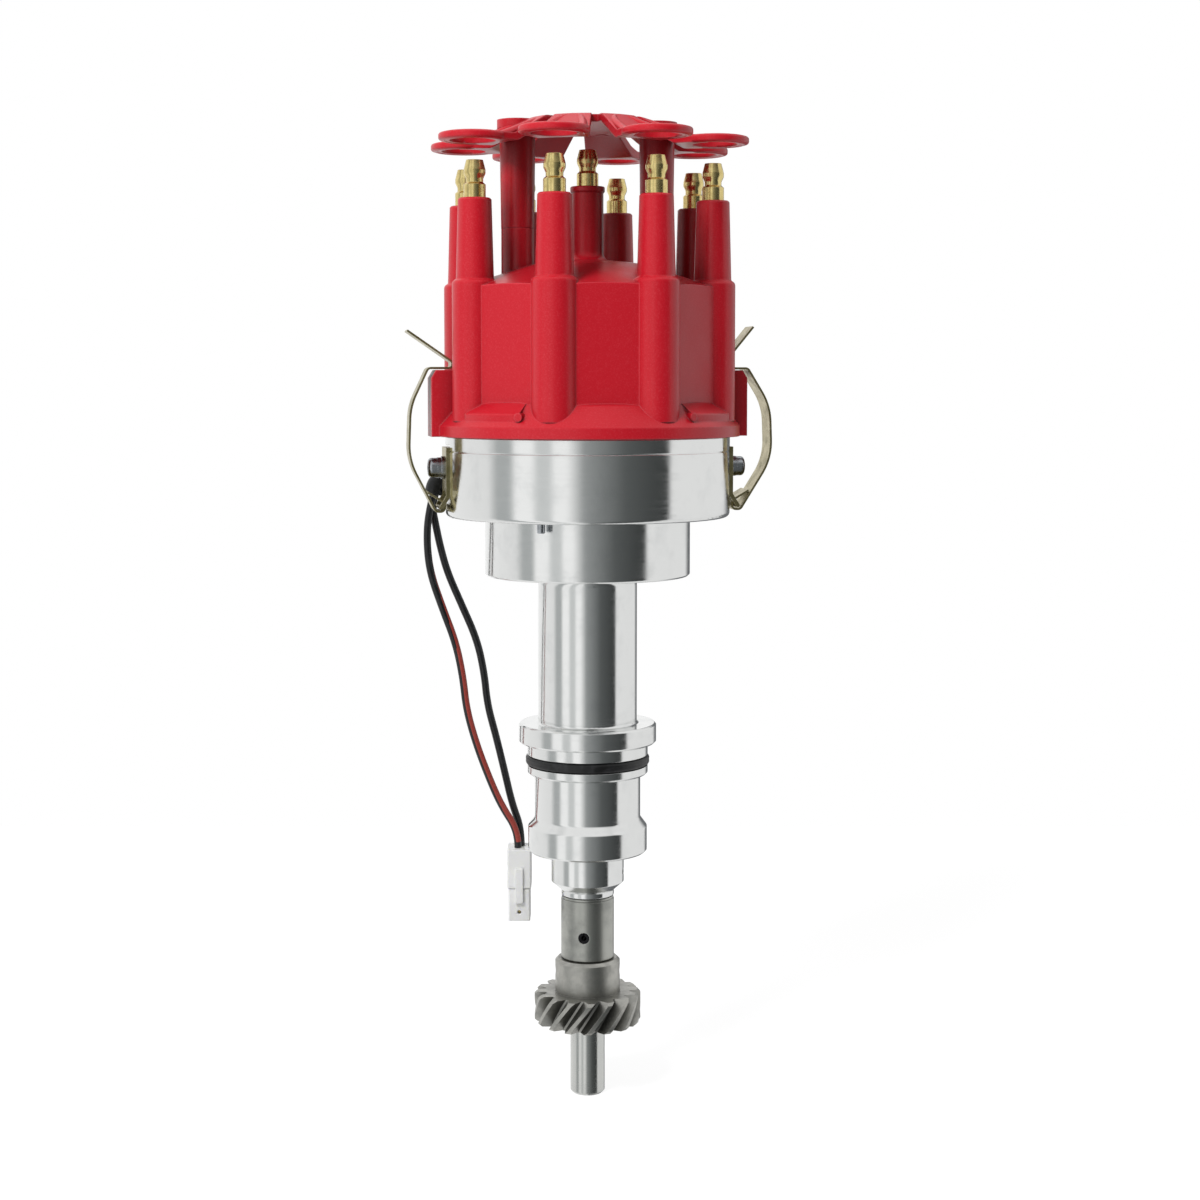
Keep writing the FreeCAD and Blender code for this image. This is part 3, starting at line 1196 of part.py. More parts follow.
def make_wire_retainer():
    """Flower-shaped retainer: a hub on two legs, eight sloping arms and their rings."""
    half = PETAL_THICK / 2
    inner_edge = PETAL_PITCH_R - PETAL_HOLE_R
    shell = turned([
        (0, HUB_DISC_TOP - HUB_DISC_THICK), (HUB_DISC_R - 1, HUB_DISC_TOP - HUB_DISC_THICK, 3.0),
        (inner_edge - 3.4, PETAL_Z - half, 3.0), (PETAL_PITCH_R, PETAL_Z - half),
        (PETAL_PITCH_R, PETAL_Z + half),
        (inner_edge - 2.2, PETAL_Z + half, 3.0), (HUB_DISC_R, HUB_DISC_TOP, 3.0), (0, HUB_DISC_TOP),
    ])
    azimuths = tower_azimuths()
    arms = petal_arm(azimuths[0]).multiFuse([petal_arm(az) for az in azimuths[1:]])
    core = Part.makeCylinder(HUB_DISC_R - 3.5, 60, Vec(0, 0, PETAL_Z - 20))
    shell = shell.common(arms.fuse(core))
    holes = [rod(PETAL_HOLE_R, polar(PETAL_PITCH_R, az, PETAL_Z - 9), polar(PETAL_PITCH_R, az, PETAL_Z + 9))
             for az in azimuths]
    shell = shell.cut(holes[0].multiFuse(holes[1:]))
    body = shell.multiFuse([petal_ring(az) for az in azimuths])
    for az in (CLIP_LEFT_AZ, CLIP_RIGHT_AZ):
        body = body.fuse(retainer_leg(az))
    for az in (CLIP_LEFT_AZ, CLIP_RIGHT_AZ):
        foot = polar(LEG_PITCH_R, az, LEG_SPLIT - 1)
        seat = polar(LEG_PITCH_R, az, RETAINER_SCREW_SEAT)
        body = body.cut(rod(RETAINER_SCREW_R + 0.1, foot, seat + Z_AXIS))
        body = body.cut(rod(RETAINER_SCREW_HEAD_R + 0.3, seat, seat + Vec(0, 0, HUB_DISC_TOP)))
    return body


def make_retainer_screws():
    """Screws through the legs of the retainer into the cap."""
    screws = []
    for az in (CLIP_LEFT_AZ, CLIP_RIGHT_AZ):
        seat = polar(LEG_PITCH_R, az, RETAINER_SCREW_SEAT)
        length = RETAINER_SCREW_SEAT - LEG_SPLIT + RETAINER_SCREW_GRIP
        screws.append(pan_head_screw(seat, Z_AXIS, RETAINER_SCREW_R, length, RETAINER_SCREW_HEAD_R, 2.2))
    return Part.makeCompound(screws)


# Spring clips

def strip_solid(points, width, thickness):
    """Bent strip of even thickness along (radius, height) corners, centred on the XZ plane."""
    path = outline(points, upright, closed=False)
    start = Vec(points[0][0], 0, points[0][1])
    run = Vec(points[1][0], 0, points[1][1]) - start
    run.normalize()
    normal = Vec(-run.z, 0, run.x)
    side = Vec(0, width / 2, 0)
    offset = normal * (thickness / 2)
    corners = [start + offset + side, start + offset - side, start - offset - side, start - offset + side]
    section = Part.makePolygon(corners + [corners[0]])
    return path.makePipeShell([section], True, False, 1)


def make_clip(az, bow_r, lever):
    """Spring clip: eye round the cross bar, bow, finger over the lug and lever."""
    eye = CLIP_LOOP_R
    left, right = CLIP_PIVOT_R - eye, CLIP_PIVOT_R + eye
    low, high = CLIP_PIVOT_Z - eye, CLIP_PIVOT_Z + eye
    press = LUG_TOP + 0.3 + CLIP_THICK / 2
    tight = eye - 0.05
    hairpin = CLIP_HAIRPIN_R
    points = [
        (CLIP_PIVOT_R + 4.2, high + 3.4), (left, high, tight), (left, low, tight), (right, low, tight),
        (bow_r + 0.6, CLIP_PIVOT_Z + 15.5, CLIP_BOW_RADIUS), (bow_r, CLIP_PIVOT_Z + 33.0, CLIP_BOW_RADIUS),
        (LUG_REACH + 0.8, press, 1.5), (CLIP_NOSE_R, press, hairpin),
        (CLIP_NOSE_R, press + 2.05 * hairpin, hairpin),
        lever,
    ]
    return facing(strip_solid(points, CLIP_WIDTH, CLIP_THICK), az)


def make_bracket(az):
    """Bracket with a slot for the clip's eye and a screw hole."""
    centre = BRACKET_FLAT_R + BRACKET_THICK / 2
    points = [(centre, BRACKET_TOP), (centre, BRACKET_BEND, 1.2), (CLIP_PIVOT_R, CLIP_PIVOT_Z)]
    plate = strip_solid(points, BRACKET_WIDTH, BRACKET_THICK)
    half_slot = CLIP_WIDTH / 2 + FREE_GAP
    opening = Part.makeBox(8, 2 * half_slot, SLOT_TOP - CLIP_PIVOT_Z + 3,
                           Vec(CLIP_PIVOT_R - 5, -half_slot, CLIP_PIVOT_Z - 3))
    plate = plate.cut(opening)
    side = Vec(0, BRACKET_WIDTH / 2, 0)
    pivot = Vec(CLIP_PIVOT_R, 0, CLIP_PIVOT_Z)
    plate = plate.fuse(rod(CROSS_BAR_R, pivot - side, pivot + side)).removeSplitter()
    screw = Vec(centre, 0, CLIP_SCREW_Z)
    plate = plate.cut(rod(CLIP_SCREW_R + 0.1, screw - Vec(3, 0, 0), screw + Vec(3, 0, 0)))
    return facing(plate, az)


def make_clip_washers():
    """Flat washer and lock washer under each clip screw."""
    face = BRACKET_FLAT_R + BRACKET_THICK
    washers = []
    for az in (CLIP_LEFT_AZ, CLIP_RIGHT_AZ):
        start = polar(face, az, CLIP_SCREW_Z)
        out = bearing(az)
        bore = rod(CLIP_SCREW_R + 0.1, start - out, start + out * 5)
        washers.append(rod(WASHER_R, start, start + out * WASHER_THICK).cut(bore))
        lock_start = start + out * WASHER_THICK
        washers.append(rod(LOCK_WASHER_R, lock_start, lock_start + out * LOCK_WASHER_THICK).cut(bore))
    return Part.makeCompound(washers)


def make_clip_screws():
    """Screws of the clip brackets."""
    seat_r = BRACKET_FLAT_R + BRACKET_THICK + WASHER_THICK + LOCK_WASHER_THICK
    length = seat_r - BOWL_BORE_R
    screws = [pan_head_screw(polar(seat_r, az, CLIP_SCREW_Z), bearing(az), CLIP_SCREW_R, length,
                             CLIP_HEAD_R, CLIP_HEAD) for az in (CLIP_LEFT_AZ, CLIP_RIGHT_AZ)]
    return Part.makeCompound(screws)


# Leads and connector

def grommet_line():
    """Start, bend and end of the grommet's spout, in space."""
    out = bearing(GROMMET_AZ)
    bend_start = polar(BOWL_R + GROMMET_FLANGE - 0.4, GROMMET_AZ, GROMMET_Z)
    turn = math.radians(GROMMET_BEND)

    def along(angle):
        drop = GROMMET_BEND_R * (1 - math.cos(angle))
        return bend_start + out * (GROMMET_BEND_R * math.sin(angle)) - Z_AXIS * drop

    heading = out * math.cos(turn) - Z_AXIS * math.sin(turn)
    bend_end = along(turn)
    return bend_start, along(turn / 2), bend_end, bend_end + heading * GROMMET_TAIL


def make_grommet():
    """Rubber grommet in the bowl's wall with a drooping spout."""
    bend_start, bend_middle, bend_end, tip = grommet_line()
    inner = polar(BOWL_BORE_R - 0.5, GROMMET_AZ, GROMMET_Z)
    path = Part.Wire([
        Part.LineSegment(inner, bend_start).toShape(),
        Part.Arc(bend_start, bend_middle, bend_end).toShape(),
        Part.LineSegment(bend_end, tip).toShape(),
    ])
    ring = Part.Wire([Part.Circle(inner, bend_start - inner, GROMMET_R).toShape()])
    spout = path.makePipeShell([ring], True, False)
    face = polar(BOWL_R - 0.2, GROMMET_AZ, GROMMET_Z)
    flange = rod(GROMMET_FLANGE_R, face, polar(BOWL_R + GROMMET_FLANGE, GROMMET_AZ, GROMMET_Z))
    bowl_side = Part.makeCylinder(BOWL_R + PRESS_GAP, 30, Vec(0, 0, GROMMET_Z - 15))
    flange = flange.cut(bowl_side)
    return fuse([spout, flange])


def lead_start(side):
    """Place where a lead leaves the spout; side is -1 or 1 across the spout."""
    across = bearing(GROMMET_AZ + 90)
    return grommet_line()[3] + across * (WIRE_SPREAD * side)


def connector_top():
    """Middle of the connector's upper face, where the leads go in."""
    return grommet_line()[3] + Vec(CONNECTOR_IN, CONNECTOR_BACK, -CONNECTOR_DROP)


def lead_route(side):
    """Route of a lead from the spout to the connector, as steps from where it starts."""
    start = lead_start(side)
    end = connector_top() + Vec(-side * 0.5, -side * CONTACT_SPACING / 2, 0)
    if side > 0:
        steps = [Vec(-1.8, 0.3, -6.8), Vec(-2.4, 0.7, -16.4), Vec(-1.4, 1.1, -26.9), Vec(2.5, 1.5, -38.4),
                 Vec(7.2, 1.8, -50.9), Vec(9.5, 2.1, -62.4), Vec(10.6, 2.5, -73.4), Vec(13.7, 3.0, -84.9),
                 Vec(17.8, 3.8, -96.4), Vec(22.2, 4.9, -107.0)]
    else:
        steps = [Vec(-1.2, 0.2, -4.5), Vec(-0.1, 0.4, -10.4), Vec(1.4, 0.8, -17.9), Vec(3.8, 1.2, -27.0),
                 Vec(8.5, 1.7, -37.9), Vec(13.7, 2.2, -50.0), Vec(16.1, 2.7, -61.4), Vec(17.1, 3.2, -72.4),
                 Vec(20.0, 3.8, -83.4), Vec(22.8, 4.5, -95.4), Vec(25.4, 5.3, -107.2)]
    last = end + Vec(0, 0, 5.8)
    return [start] + [start + step for step in steps] + [last, end]


def cord_path(points):
    """Straight runs joined by tangent arcs as large as the runs allow."""
    edges = []
    radii = []
    here = points[0]
    for index in range(1, len(points) - 1):
        corner = points[index]
        back = points[index - 1] - corner
        on = points[index + 1] - corner
        shorter = min(back.Length, on.Length)
        back.normalize()
        on.normalize()
        half_turn = (math.pi - back.getAngle(on)) / 2
        reach = 0.45 * shorter
        radius = reach / math.tan(half_turn)
        radii.append(round(radius, 1))
        sag = radius / math.cos(half_turn) - radius
        middle = corner + (back + on).normalize() * sag
        edges.append(Part.LineSegment(here, corner + back * reach).toShape())
        edges.append(Part.Arc(corner + back * reach, middle, corner + on * reach).toShape())
        here = corner + on * reach
    edges.append(Part.LineSegment(here, points[-1]).toShape())
    return Part.Wire(edges), radii


def make_lead(side):
    """One lead as a plain round cord."""
    points = lead_route(side)
    path, radii = cord_path(points)
    section = Part.Wire([Part.Circle(points[0], points[1] - points[0], WIRE_R).toShape()])
    cord = path.makePipeShell([section], True, False)
    expected = path.Length * math.pi * WIRE_R ** 2
    print("lead", side, "length", round(path.Length, 1), "volume ratio", round(cord.Volume / expected, 4))
    print("bend radii", radii)
    return cord


def contact_bore(radius, side, bottom_step, top_step):
    """Upright rod in line with a lead, between two steps down from the connector's top."""
    middle = connector_top() - Vec(0, side * CONTACT_SPACING / 2, 0)
    return rod(radius, middle - Vec(0, 0, bottom_step), middle - Vec(0, 0, top_step))


def make_connector_shell():
    """Two-way connector housing in its two halves, mated."""
    width, depth, height = CONNECTOR_SIZE
    centre = connector_top() - Vec(0, 0, height / 2)
    seam = CONNECTOR_SEAM
    upper_height = height * 0.54
    upper = block((width, depth, upper_height), centre + Vec(0, 0, (height - upper_height) / 2))
    lower_height = height - upper_height - seam
    lower = block((width - CONNECTOR_WALL, depth - CONNECTOR_WALL, lower_height),
                  centre - Vec(0, 0, (height - lower_height) / 2))
    neck = block((width - 2 * CONNECTOR_WALL, depth - 2 * CONNECTOR_WALL, height - 1), centre)
    upper = upper.makeFillet(0.6, upright_edges(upper))
    lower = lower.makeFillet(0.6, upright_edges(lower))
    latch = block((2.6, 1.2, 12.0), centre + Vec(0, -depth / 2 - 0.3, 0))
    body = fuse([upper, lower, neck, latch])
    for side in (-1, 1):
        body = body.cut(contact_bore(CONTACT_R + 0.15, side, height + 1, 1.2))
    peep = centre + Vec(0, -depth, 3.0 - height / 2)
    return body.cut(rod(CONTACT_BORE_R, peep, peep + Vec(0, depth - CONTACT_SPACING / 2, 0)))


def make_connector_contacts():
    """Crimped contacts inside the connector."""
    contacts = []
    bottom = CONNECTOR_SIZE[2] - 2.0
    for side in (-1, 1):
        contact = contact_bore(CONTACT_R, side, bottom, 1.3)
        contacts.append(contact.cut(contact_bore(CONTACT_BORE_R, side, bottom + 1, bottom - 7)))
    return Part.makeCompound(contacts)


PARTS = {
    "housing": make_housing,
    "o_ring": make_o_ring,
    "lower_bushing": make_lower_bushing,
    "bearing_outer_race": make_outer_race,
    "bearing_inner_race": make_inner_race,
    "bearing_balls": make_balls,
    "bearing_cage": make_ball_cage,
    "bearing_snap_ring": make_snap_ring,
    "main_shaft": make_main_shaft,
    "thrust_washer": make_thrust_washer,
    "shaft_collar": make_collar,
    "collar_pin": make_collar_pin,
    "drive_gear": make_gear,
    "gear_pin": make_gear_pin,
    "centre_cam": make_centre_cam,
    "stop_bushing": make_stop_bushing,
    "advance_sleeve": make_sleeve,
    "advance_plate": make_advance_plate,
    "weight_pins": make_weight_pins,
    "weight_clips": make_weight_clips,
    "weight_a": lambda: make_weight(0),
    "weight_b": lambda: make_weight(180),
    "advance_spring_a": lambda: make_advance_spring(0),
    "advance_spring_b": lambda: make_advance_spring(180),
    "reluctor": make_reluctor,
    "reluctor_pin": make_reluctor_pin,
    "rotor_posts": make_rotor_posts,
    "rotor": make_rotor,
    "rotor_blade": make_rotor_blade,
    "rotor_contact_spring": make_contact_spring,
    "rotor_screws": make_rotor_screws,
    "base_plate": make_base_plate,
    "base_screws": make_base_screws,
    "ignition_module": make_module,
    "module_screws": make_module_screws,
    "pickup_coil": make_pickup_coil,
    "pickup_pole": make_pickup_pole,
    "locating_pin": make_locating_pin,
    "cap": make_cap,
    "plug_terminals": make_plug_terminals,
    "coil_terminal": make_coil_terminal,
    "carbon_brush": make_carbon_brush,
    "brush_spring": make_brush_spring,
    "wire_retainer": make_wire_retainer,
    "retainer_screws": make_retainer_screws,
    "clip_bracket_left": lambda: make_bracket(CLIP_LEFT_AZ),
    "clip_bracket_right": lambda: make_bracket(CLIP_RIGHT_AZ),
    "clip_washers": make_clip_washers,
    "clip_screws": make_clip_screws,
    "spring_clip_left": lambda: make_clip(CLIP_LEFT_AZ, LUG_REACH + CLIP_BOW_LEFT, LEVER_LEFT),
    "spring_clip_right": lambda: make_clip(CLIP_RIGHT_AZ, LUG_REACH + CLIP_BOW_RIGHT, LEVER_RIGHT),
    "lead_grommet": make_grommet,
    "lead_traced": lambda: make_lead(1),
    "lead_black": lambda: make_lead(-1),
    "connector_shell": make_connector_shell,
    "connector_contacts": make_connector_contacts,
}


def main():
    """Write every piece as a STEP file."""
    os.makedirs("parts", exist_ok=True)
    for name, make in PARTS.items():
        shape = make()
        solids = shape.Solids
        print(name, "solids", len(solids), "valid", shape.isValid(), "volume", round(shape.Volume, 1))
        shape.exportStep("parts/" + name + ".step")


main()
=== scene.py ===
import logging
import math
from collections.abc import Sequence
from dataclasses import dataclass
from enum import Enum

import bmesh
import bpy
from mathutils import Matrix, Vector


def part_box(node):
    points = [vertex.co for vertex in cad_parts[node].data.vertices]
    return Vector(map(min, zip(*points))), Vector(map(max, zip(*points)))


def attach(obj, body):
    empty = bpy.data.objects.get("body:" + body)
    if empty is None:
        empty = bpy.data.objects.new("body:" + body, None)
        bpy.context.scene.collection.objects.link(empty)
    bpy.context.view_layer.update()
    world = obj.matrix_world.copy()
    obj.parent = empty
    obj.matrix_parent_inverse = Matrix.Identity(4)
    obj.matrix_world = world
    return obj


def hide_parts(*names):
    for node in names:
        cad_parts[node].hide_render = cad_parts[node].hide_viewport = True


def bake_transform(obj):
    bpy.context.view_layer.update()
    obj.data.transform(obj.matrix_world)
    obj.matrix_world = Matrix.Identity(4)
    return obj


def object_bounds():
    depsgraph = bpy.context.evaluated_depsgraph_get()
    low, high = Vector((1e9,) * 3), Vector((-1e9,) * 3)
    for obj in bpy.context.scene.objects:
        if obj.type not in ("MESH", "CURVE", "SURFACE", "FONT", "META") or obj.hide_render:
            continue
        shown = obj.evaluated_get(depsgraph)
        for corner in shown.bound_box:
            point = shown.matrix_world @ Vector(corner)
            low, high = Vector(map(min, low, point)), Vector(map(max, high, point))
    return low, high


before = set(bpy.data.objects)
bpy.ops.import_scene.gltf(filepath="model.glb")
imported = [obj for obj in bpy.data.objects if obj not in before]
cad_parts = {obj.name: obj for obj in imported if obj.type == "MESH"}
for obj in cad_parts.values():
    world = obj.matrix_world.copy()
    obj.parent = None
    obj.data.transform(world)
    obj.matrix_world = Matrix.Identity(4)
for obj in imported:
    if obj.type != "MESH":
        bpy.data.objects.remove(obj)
CAD_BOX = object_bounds()

MM = 0.001
LOG = logging.getLogger("distributor")
# Corners closer than this, in millimetres, are made one.
MERGE_REACH = 0.001
# Angle in degrees past which an edge on a bar or a wire stays sharp.
BAR_CREASE = 60.0
# Rays that look for an edge, and rays that look for a hollow to paint shade into.
EDGE_SAMPLES = 8
PAINTED_SHADE_SAMPLES = 6
# Cosine between rounded and true normal, from an even face to the middle of an edge.
EDGE_SPAN = (0.99, 0.86)
# Share of open space over a point, from a deep hollow, where the painted shade is darkest, to an open face,
# where there is none.
PAINTED_SHADE_SPAN = (0.25, 0.8)

Point = tuple[float, float, float]
Span = tuple[float, float]
Tree = bpy.types.NodeTree
Node = bpy.types.Node
Socket = bpy.types.NodeSocket
Inputs = dict[str | int, object]
Shape = bmesh.types.BMesh
Corner = bmesh.types.BMVert


def linear(code: str) -> tuple[float, float, float, float]:
    """Turn a colour written as sRGB hex to the linear values a node takes.

    Args:
        code: Colour such as "#c8202e".

    Returns:
        Linear red, green and blue with full alpha.
    """
    # The numbers are those of the sRGB curve.
    values = [int(code[i:i + 2], 16) / 255 for i in (1, 3, 5)]
    red, green, blue = (
        value / 12.92 if value <= 0.04045 else ((value + 0.055) / 1.055) ** 2.4 for value in values
    )
    return red, green, blue, 1.0


def add_node(tree: Tree, kind: str, inputs: Inputs | None = None, **settings: object) -> Node:
    """Add a node with its settings, its values and its links.

    Args:
        tree: Node tree that takes the node.
        kind: Type name of the shader node.
        inputs: Value, socket or node for each input, by name or number. A node gives its first output.
        settings: Properties of the node itself.

    Returns:
        The new node.
    """
    node = tree.nodes.new("ShaderNode" + kind)
    for name, value in settings.items():
        setattr(node, name, value)
    for key, value in (inputs or {}).items():
        source = value.outputs[0] if isinstance(value, Node) else value
        if isinstance(source, Socket):
            tree.links.new(source, node.inputs[key])
        else:
            node.inputs[key].default_value = value
    return node


def clear_tree(owner: bpy.types.Material | bpy.types.World) -> Tree:
    """Give a material or the world an empty node tree.

    Args:
        owner: The material or the world.

    Returns:
        Its node tree.
    """
    owner.use_nodes = True
    owner.node_tree.nodes.clear()
    return owner.node_tree


def ranges(span: Span, result: Span = (0.0, 1.0)) -> Inputs:
    """Name the ends of a span, and of what it is turned to, as Map Range has them."""
    return {"From Min": span[0], "From Max": span[1], "To Min": result[0], "To Max": result[1]}


def show(*objects: bpy.types.Object) -> None:
    """Put objects into the scene."""
    for obj in objects:
        bpy.context.scene.collection.objects.link(obj)


@dataclass(frozen=True)
class Patterns:
    """Where a material's second tone lies, what stands up on it, and what makes its gloss uneven."""

    second: Socket
    relief: Socket
    gloss: Socket | None = None


@dataclass(frozen=True)
class Finish:
    """What a surface is made of and how it was made.

    Sizes in a finish are in millimetres, and its patterns read Object coordinates turned to
    millimetres, so that a grain has its real size on every piece. A span gives the values of a
    pattern between which the second tone comes in, or the gloss changes by its swing.
    """

    name: str
    colour: str
    roughness: float
    second_colour: str = "#ffffff"
    second_share: float = 0.4
    second_span: Span | None = None
    gloss_span: Span = (0.7, 1.3)
    gloss_swing: Span = (-0.06, 0.08)
    grain: float = 0.3
    grain_depth: float = 0.02
    edge_radius: float = 0.35
    edge_colour: str = "#ffffff"
    edge_share: float = 0.3
    # Reach in millimetres of the painted shade in hollows, and the share of the colour it leaves in the
    # deepest; 1 paints none.
    painted_shade_reach: float = 45.0
    painted_shade_tone: float = 1.0

    def material(self) -> bpy.types.Material:
        """Make the finish's material, or find it when a piece has it already.

        Returns:
            The material.
        """
        known = bpy.data.materials.get(self.name)
        if known:
            return known
        material = bpy.data.materials.new(self.name)
        tree = clear_tree(material)
        place = add_node(tree, "TexCoord")
        place_mm = add_node(
            tree, "VectorMath", {0: place.outputs["Object"], "Scale": 1 / MM}, operation="SCALE"
        )
        shader = add_node(tree, "BsdfPrincipled", {"Roughness": self.roughness})
        patterns = self.dress(tree, shader, place_mm.outputs[0])
        rounded, on_edge = self.rounded_edge(tree)
        tone = self.tone(tree, patterns.second, on_edge)
        tree.links.new(tone, shader.inputs["Base Color"])
        if patterns.gloss is not None:
            swing = (self.roughness + self.gloss_swing[0], self.roughness + self.gloss_swing[1])
            gloss = add_node(tree, "MapRange", {"Value": patterns.gloss, **ranges(self.gloss_span, swing)})
            tree.links.new(gloss.outputs[0], shader.inputs["Roughness"])
        bump = {"Distance": self.grain_depth * MM, "Height": patterns.relief, "Normal": rounded}
        relief = add_node(tree, "Bump", {"Strength": 1.0, **bump})
        tree.links.new(relief.outputs[0], shader.inputs["Normal"])
        add_node(tree, "OutputMaterial", {"Surface": shader})
        return material

    def dress(self, tree: Tree, shader: Node, place: Socket) -> Patterns:
        """Set what is the same all over the surface, and draw the patterns.

        Args:
            tree: Node tree of the material.
            shader: Its shader.
            place: Place on the piece, in millimetres.

        Returns:
            The patterns.
        """
        raise NotImplementedError

    def rounded_edge(self, tree: Tree) -> tuple[Socket, Socket]:
        """Round the edges that catch the light, and find where they are.

        Args:
            tree: Node tree of the material.

        Returns:
            The rounded normal, and a factor that is 1 on an edge and 0 on a face.
        """
        rounded = add_node(tree, "Bevel", {"Radius": self.edge_radius * MM}, samples=EDGE_SAMPLES)
        surface = add_node(tree, "NewGeometry")
        normals = {0: rounded, 1: surface.outputs["Normal"]}
        facing = add_node(tree, "VectorMath", normals, operation="DOT_PRODUCT")
        on_edge = add_node(tree, "MapRange", {"Value": facing.outputs["Value"], **ranges(EDGE_SPAN)})
        return rounded.outputs[0], on_edge.outputs[0]

    def tone(self, tree: Tree, pattern: Socket, on_edge: Socket) -> Socket:
        """Lay the second tone over the first, rub the edges and paint shade into the hollows.

        Args:
            tree: Node tree of the material.
            pattern: Where the second tone lies.
            on_edge: Factor that is 1 on an edge.

        Returns:
            The colour.
        """
        if self.second_span:
            share = {"Value": pattern, **ranges(self.second_span, (0.0, self.second_share))}
            pattern = add_node(tree, "MapRange", share).outputs[0]
        both = {0: pattern, 6: linear(self.colour), 7: linear(self.second_colour)}
        faces = add_node(tree, "Mix", both, data_type="RGBA")
        rub = add_node(tree, "Math", {0: on_edge, 1: self.edge_share}, operation="MULTIPLY")
        with_edges = {0: rub, 6: faces.outputs[2], 7: linear(self.edge_colour)}
        rubbed = add_node(tree, "Mix", with_edges, data_type="RGBA").outputs[2]
        if self.painted_shade_tone >= 1.0:
            return rubbed
        # Painted shade: a piece is darkened where near walls close it in, by an amount matched to the
        # photograph.
        reach = {"Distance": self.painted_shade_reach * MM}
        openness = add_node(tree, "AmbientOcclusion", reach, samples=PAINTED_SHADE_SAMPLES)
        light = {"Value": openness.outputs["AO"], **ranges(PAINTED_SHADE_SPAN, (self.painted_shade_tone, 1.0))}
        lit = add_node(tree, "MapRange", light)
        return add_node(tree, "VectorMath", {0: rubbed, "Scale": lit}, operation="SCALE").outputs[0]


@dataclass(frozen=True)
class MouldedPlastic(Finish):
    """Compound that is moulded or pressed in a lightly blasted mould, with rubbed edges."""

    second_span: Span = (0.48, 0.75)
    gloss_span: Span = (0.3, 0.7)
    gloss_swing: Span = (-0.05, 0.07)
    grain: float = 0.45
    clouds_per_mm: float = 0.09
    # Mouldings get painted shade deep in their hollows.
    painted_shade_tone: float = 0.3

    def dress(self, tree: Tree, shader: Node, place: Socket) -> Patterns:
        """Draw specks, which stand up a little, and clouds in the gloss.

        Args:
            tree: Node tree of the material.
            shader: Its shader.
            place: Place on the piece, in millimetres.

        Returns:
            The patterns.
        """
        # Fibres or grains near the skin show as pale specks under half a millimetre across.
        specks = add_node(tree, "TexNoise", {"Vector": place, "Scale": 1 / self.grain, "Detail": 2.0})
        # Blast and wiping leave patches of more or less gloss, about a centimetre across.
        clouds = add_node(tree, "TexNoise", {"Vector": place, "Scale": self.clouds_per_mm, "Detail": 4.0})
        return Patterns(specks.outputs[0], specks.outputs[0], clouds.outputs[0])


@dataclass(frozen=True)
class TurnedMetal(Finish):
    """Metal turned or ground about the upright axis, whose grain is the tool's fine rings."""

    second_colour: str = "#9a9c9e"
    second_share: float = 0.25
    second_span: Span = (0.5, 0.75)
    grain: float = 0.8
    grain_depth: float = 0.004
    stretch: float = 0.75
    ring_drift: float = 0.012
    stains_per_mm: float = 0.11

    def dress(self, tree: Tree, shader: Node, place: Socket) -> Patterns:
        """Draw rings about the axis and faint stains, and stretch the gloss across the rings.

        Args:
            tree: Node tree of the material.
            shader: Its shader.
            place: Place on the piece, in millimetres.

        Returns:
            The patterns.
        """
        shader.inputs["Metallic"].default_value = 1.0
        shader.inputs["Anisotropic"].default_value = self.stretch
        flat = add_node(tree, "VectorMath", {0: place, 1: (1, 1, 0)}, operation="MULTIPLY")
        radius = add_node(tree, "VectorMath", {0: flat}, operation="LENGTH")
        parts = add_node(tree, "SeparateXYZ", {0: place})
        # A tool's real rings are too fine to show in the render, so they are drawn coarser.
        across = add_node(tree, "CombineXYZ", {0: radius.outputs["Value"], 1: 0.0, 2: parts.outputs[2]})
        drift = add_node(tree, "VectorMath", {0: flat, "Scale": self.ring_drift}, operation="SCALE")
        track = add_node(tree, "VectorMath", {0: across, 1: drift}, operation="ADD")
        rings = add_node(
            tree, "TexNoise",
            {"Vector": track, "Scale": 1 / self.grain, "Detail": 5.0, "Roughness": 0.7},
        )
        stains = add_node(
            tree, "TexNoise",
            {"Vector": place, "Scale": self.stains_per_mm, "Detail": 6.0, "Roughness": 0.62},
        )
        both = add_node(tree, "Math", {0: rings, 1: stains}, operation="ADD")
        tree.links.new(self.groove_side(tree, flat.outputs[0]), shader.inputs["Tangent"])
        return Patterns(stains.outputs[0], rings.outputs[0], both.outputs[0])

    def groove_side(self, tree: Tree, flat: Socket) -> Socket:
        """Find the way across the rings, in which their highlights are drawn out.

        Args:
            tree: Node tree of the material.
            flat: Place on the piece with no height.

        Returns:
            The direction across the rings.
        """
        along = add_node(tree, "VectorMath", {0: (0, 0, 1), 1: flat}, operation="CROSS_PRODUCT")
        turned = add_node(
            tree, "VectorTransform", {0: along},
            vector_type="VECTOR", convert_from="OBJECT", convert_to="WORLD",
        )
        surface = add_node(tree, "NewGeometry")
        across = add_node(
            tree, "VectorMath", {0: surface.outputs["Normal"], 1: turned},
            operation="CROSS_PRODUCT",
        )
        even = add_node(tree, "VectorMath", {0: across}, operation="NORMALIZE")
        return even.outputs[0]


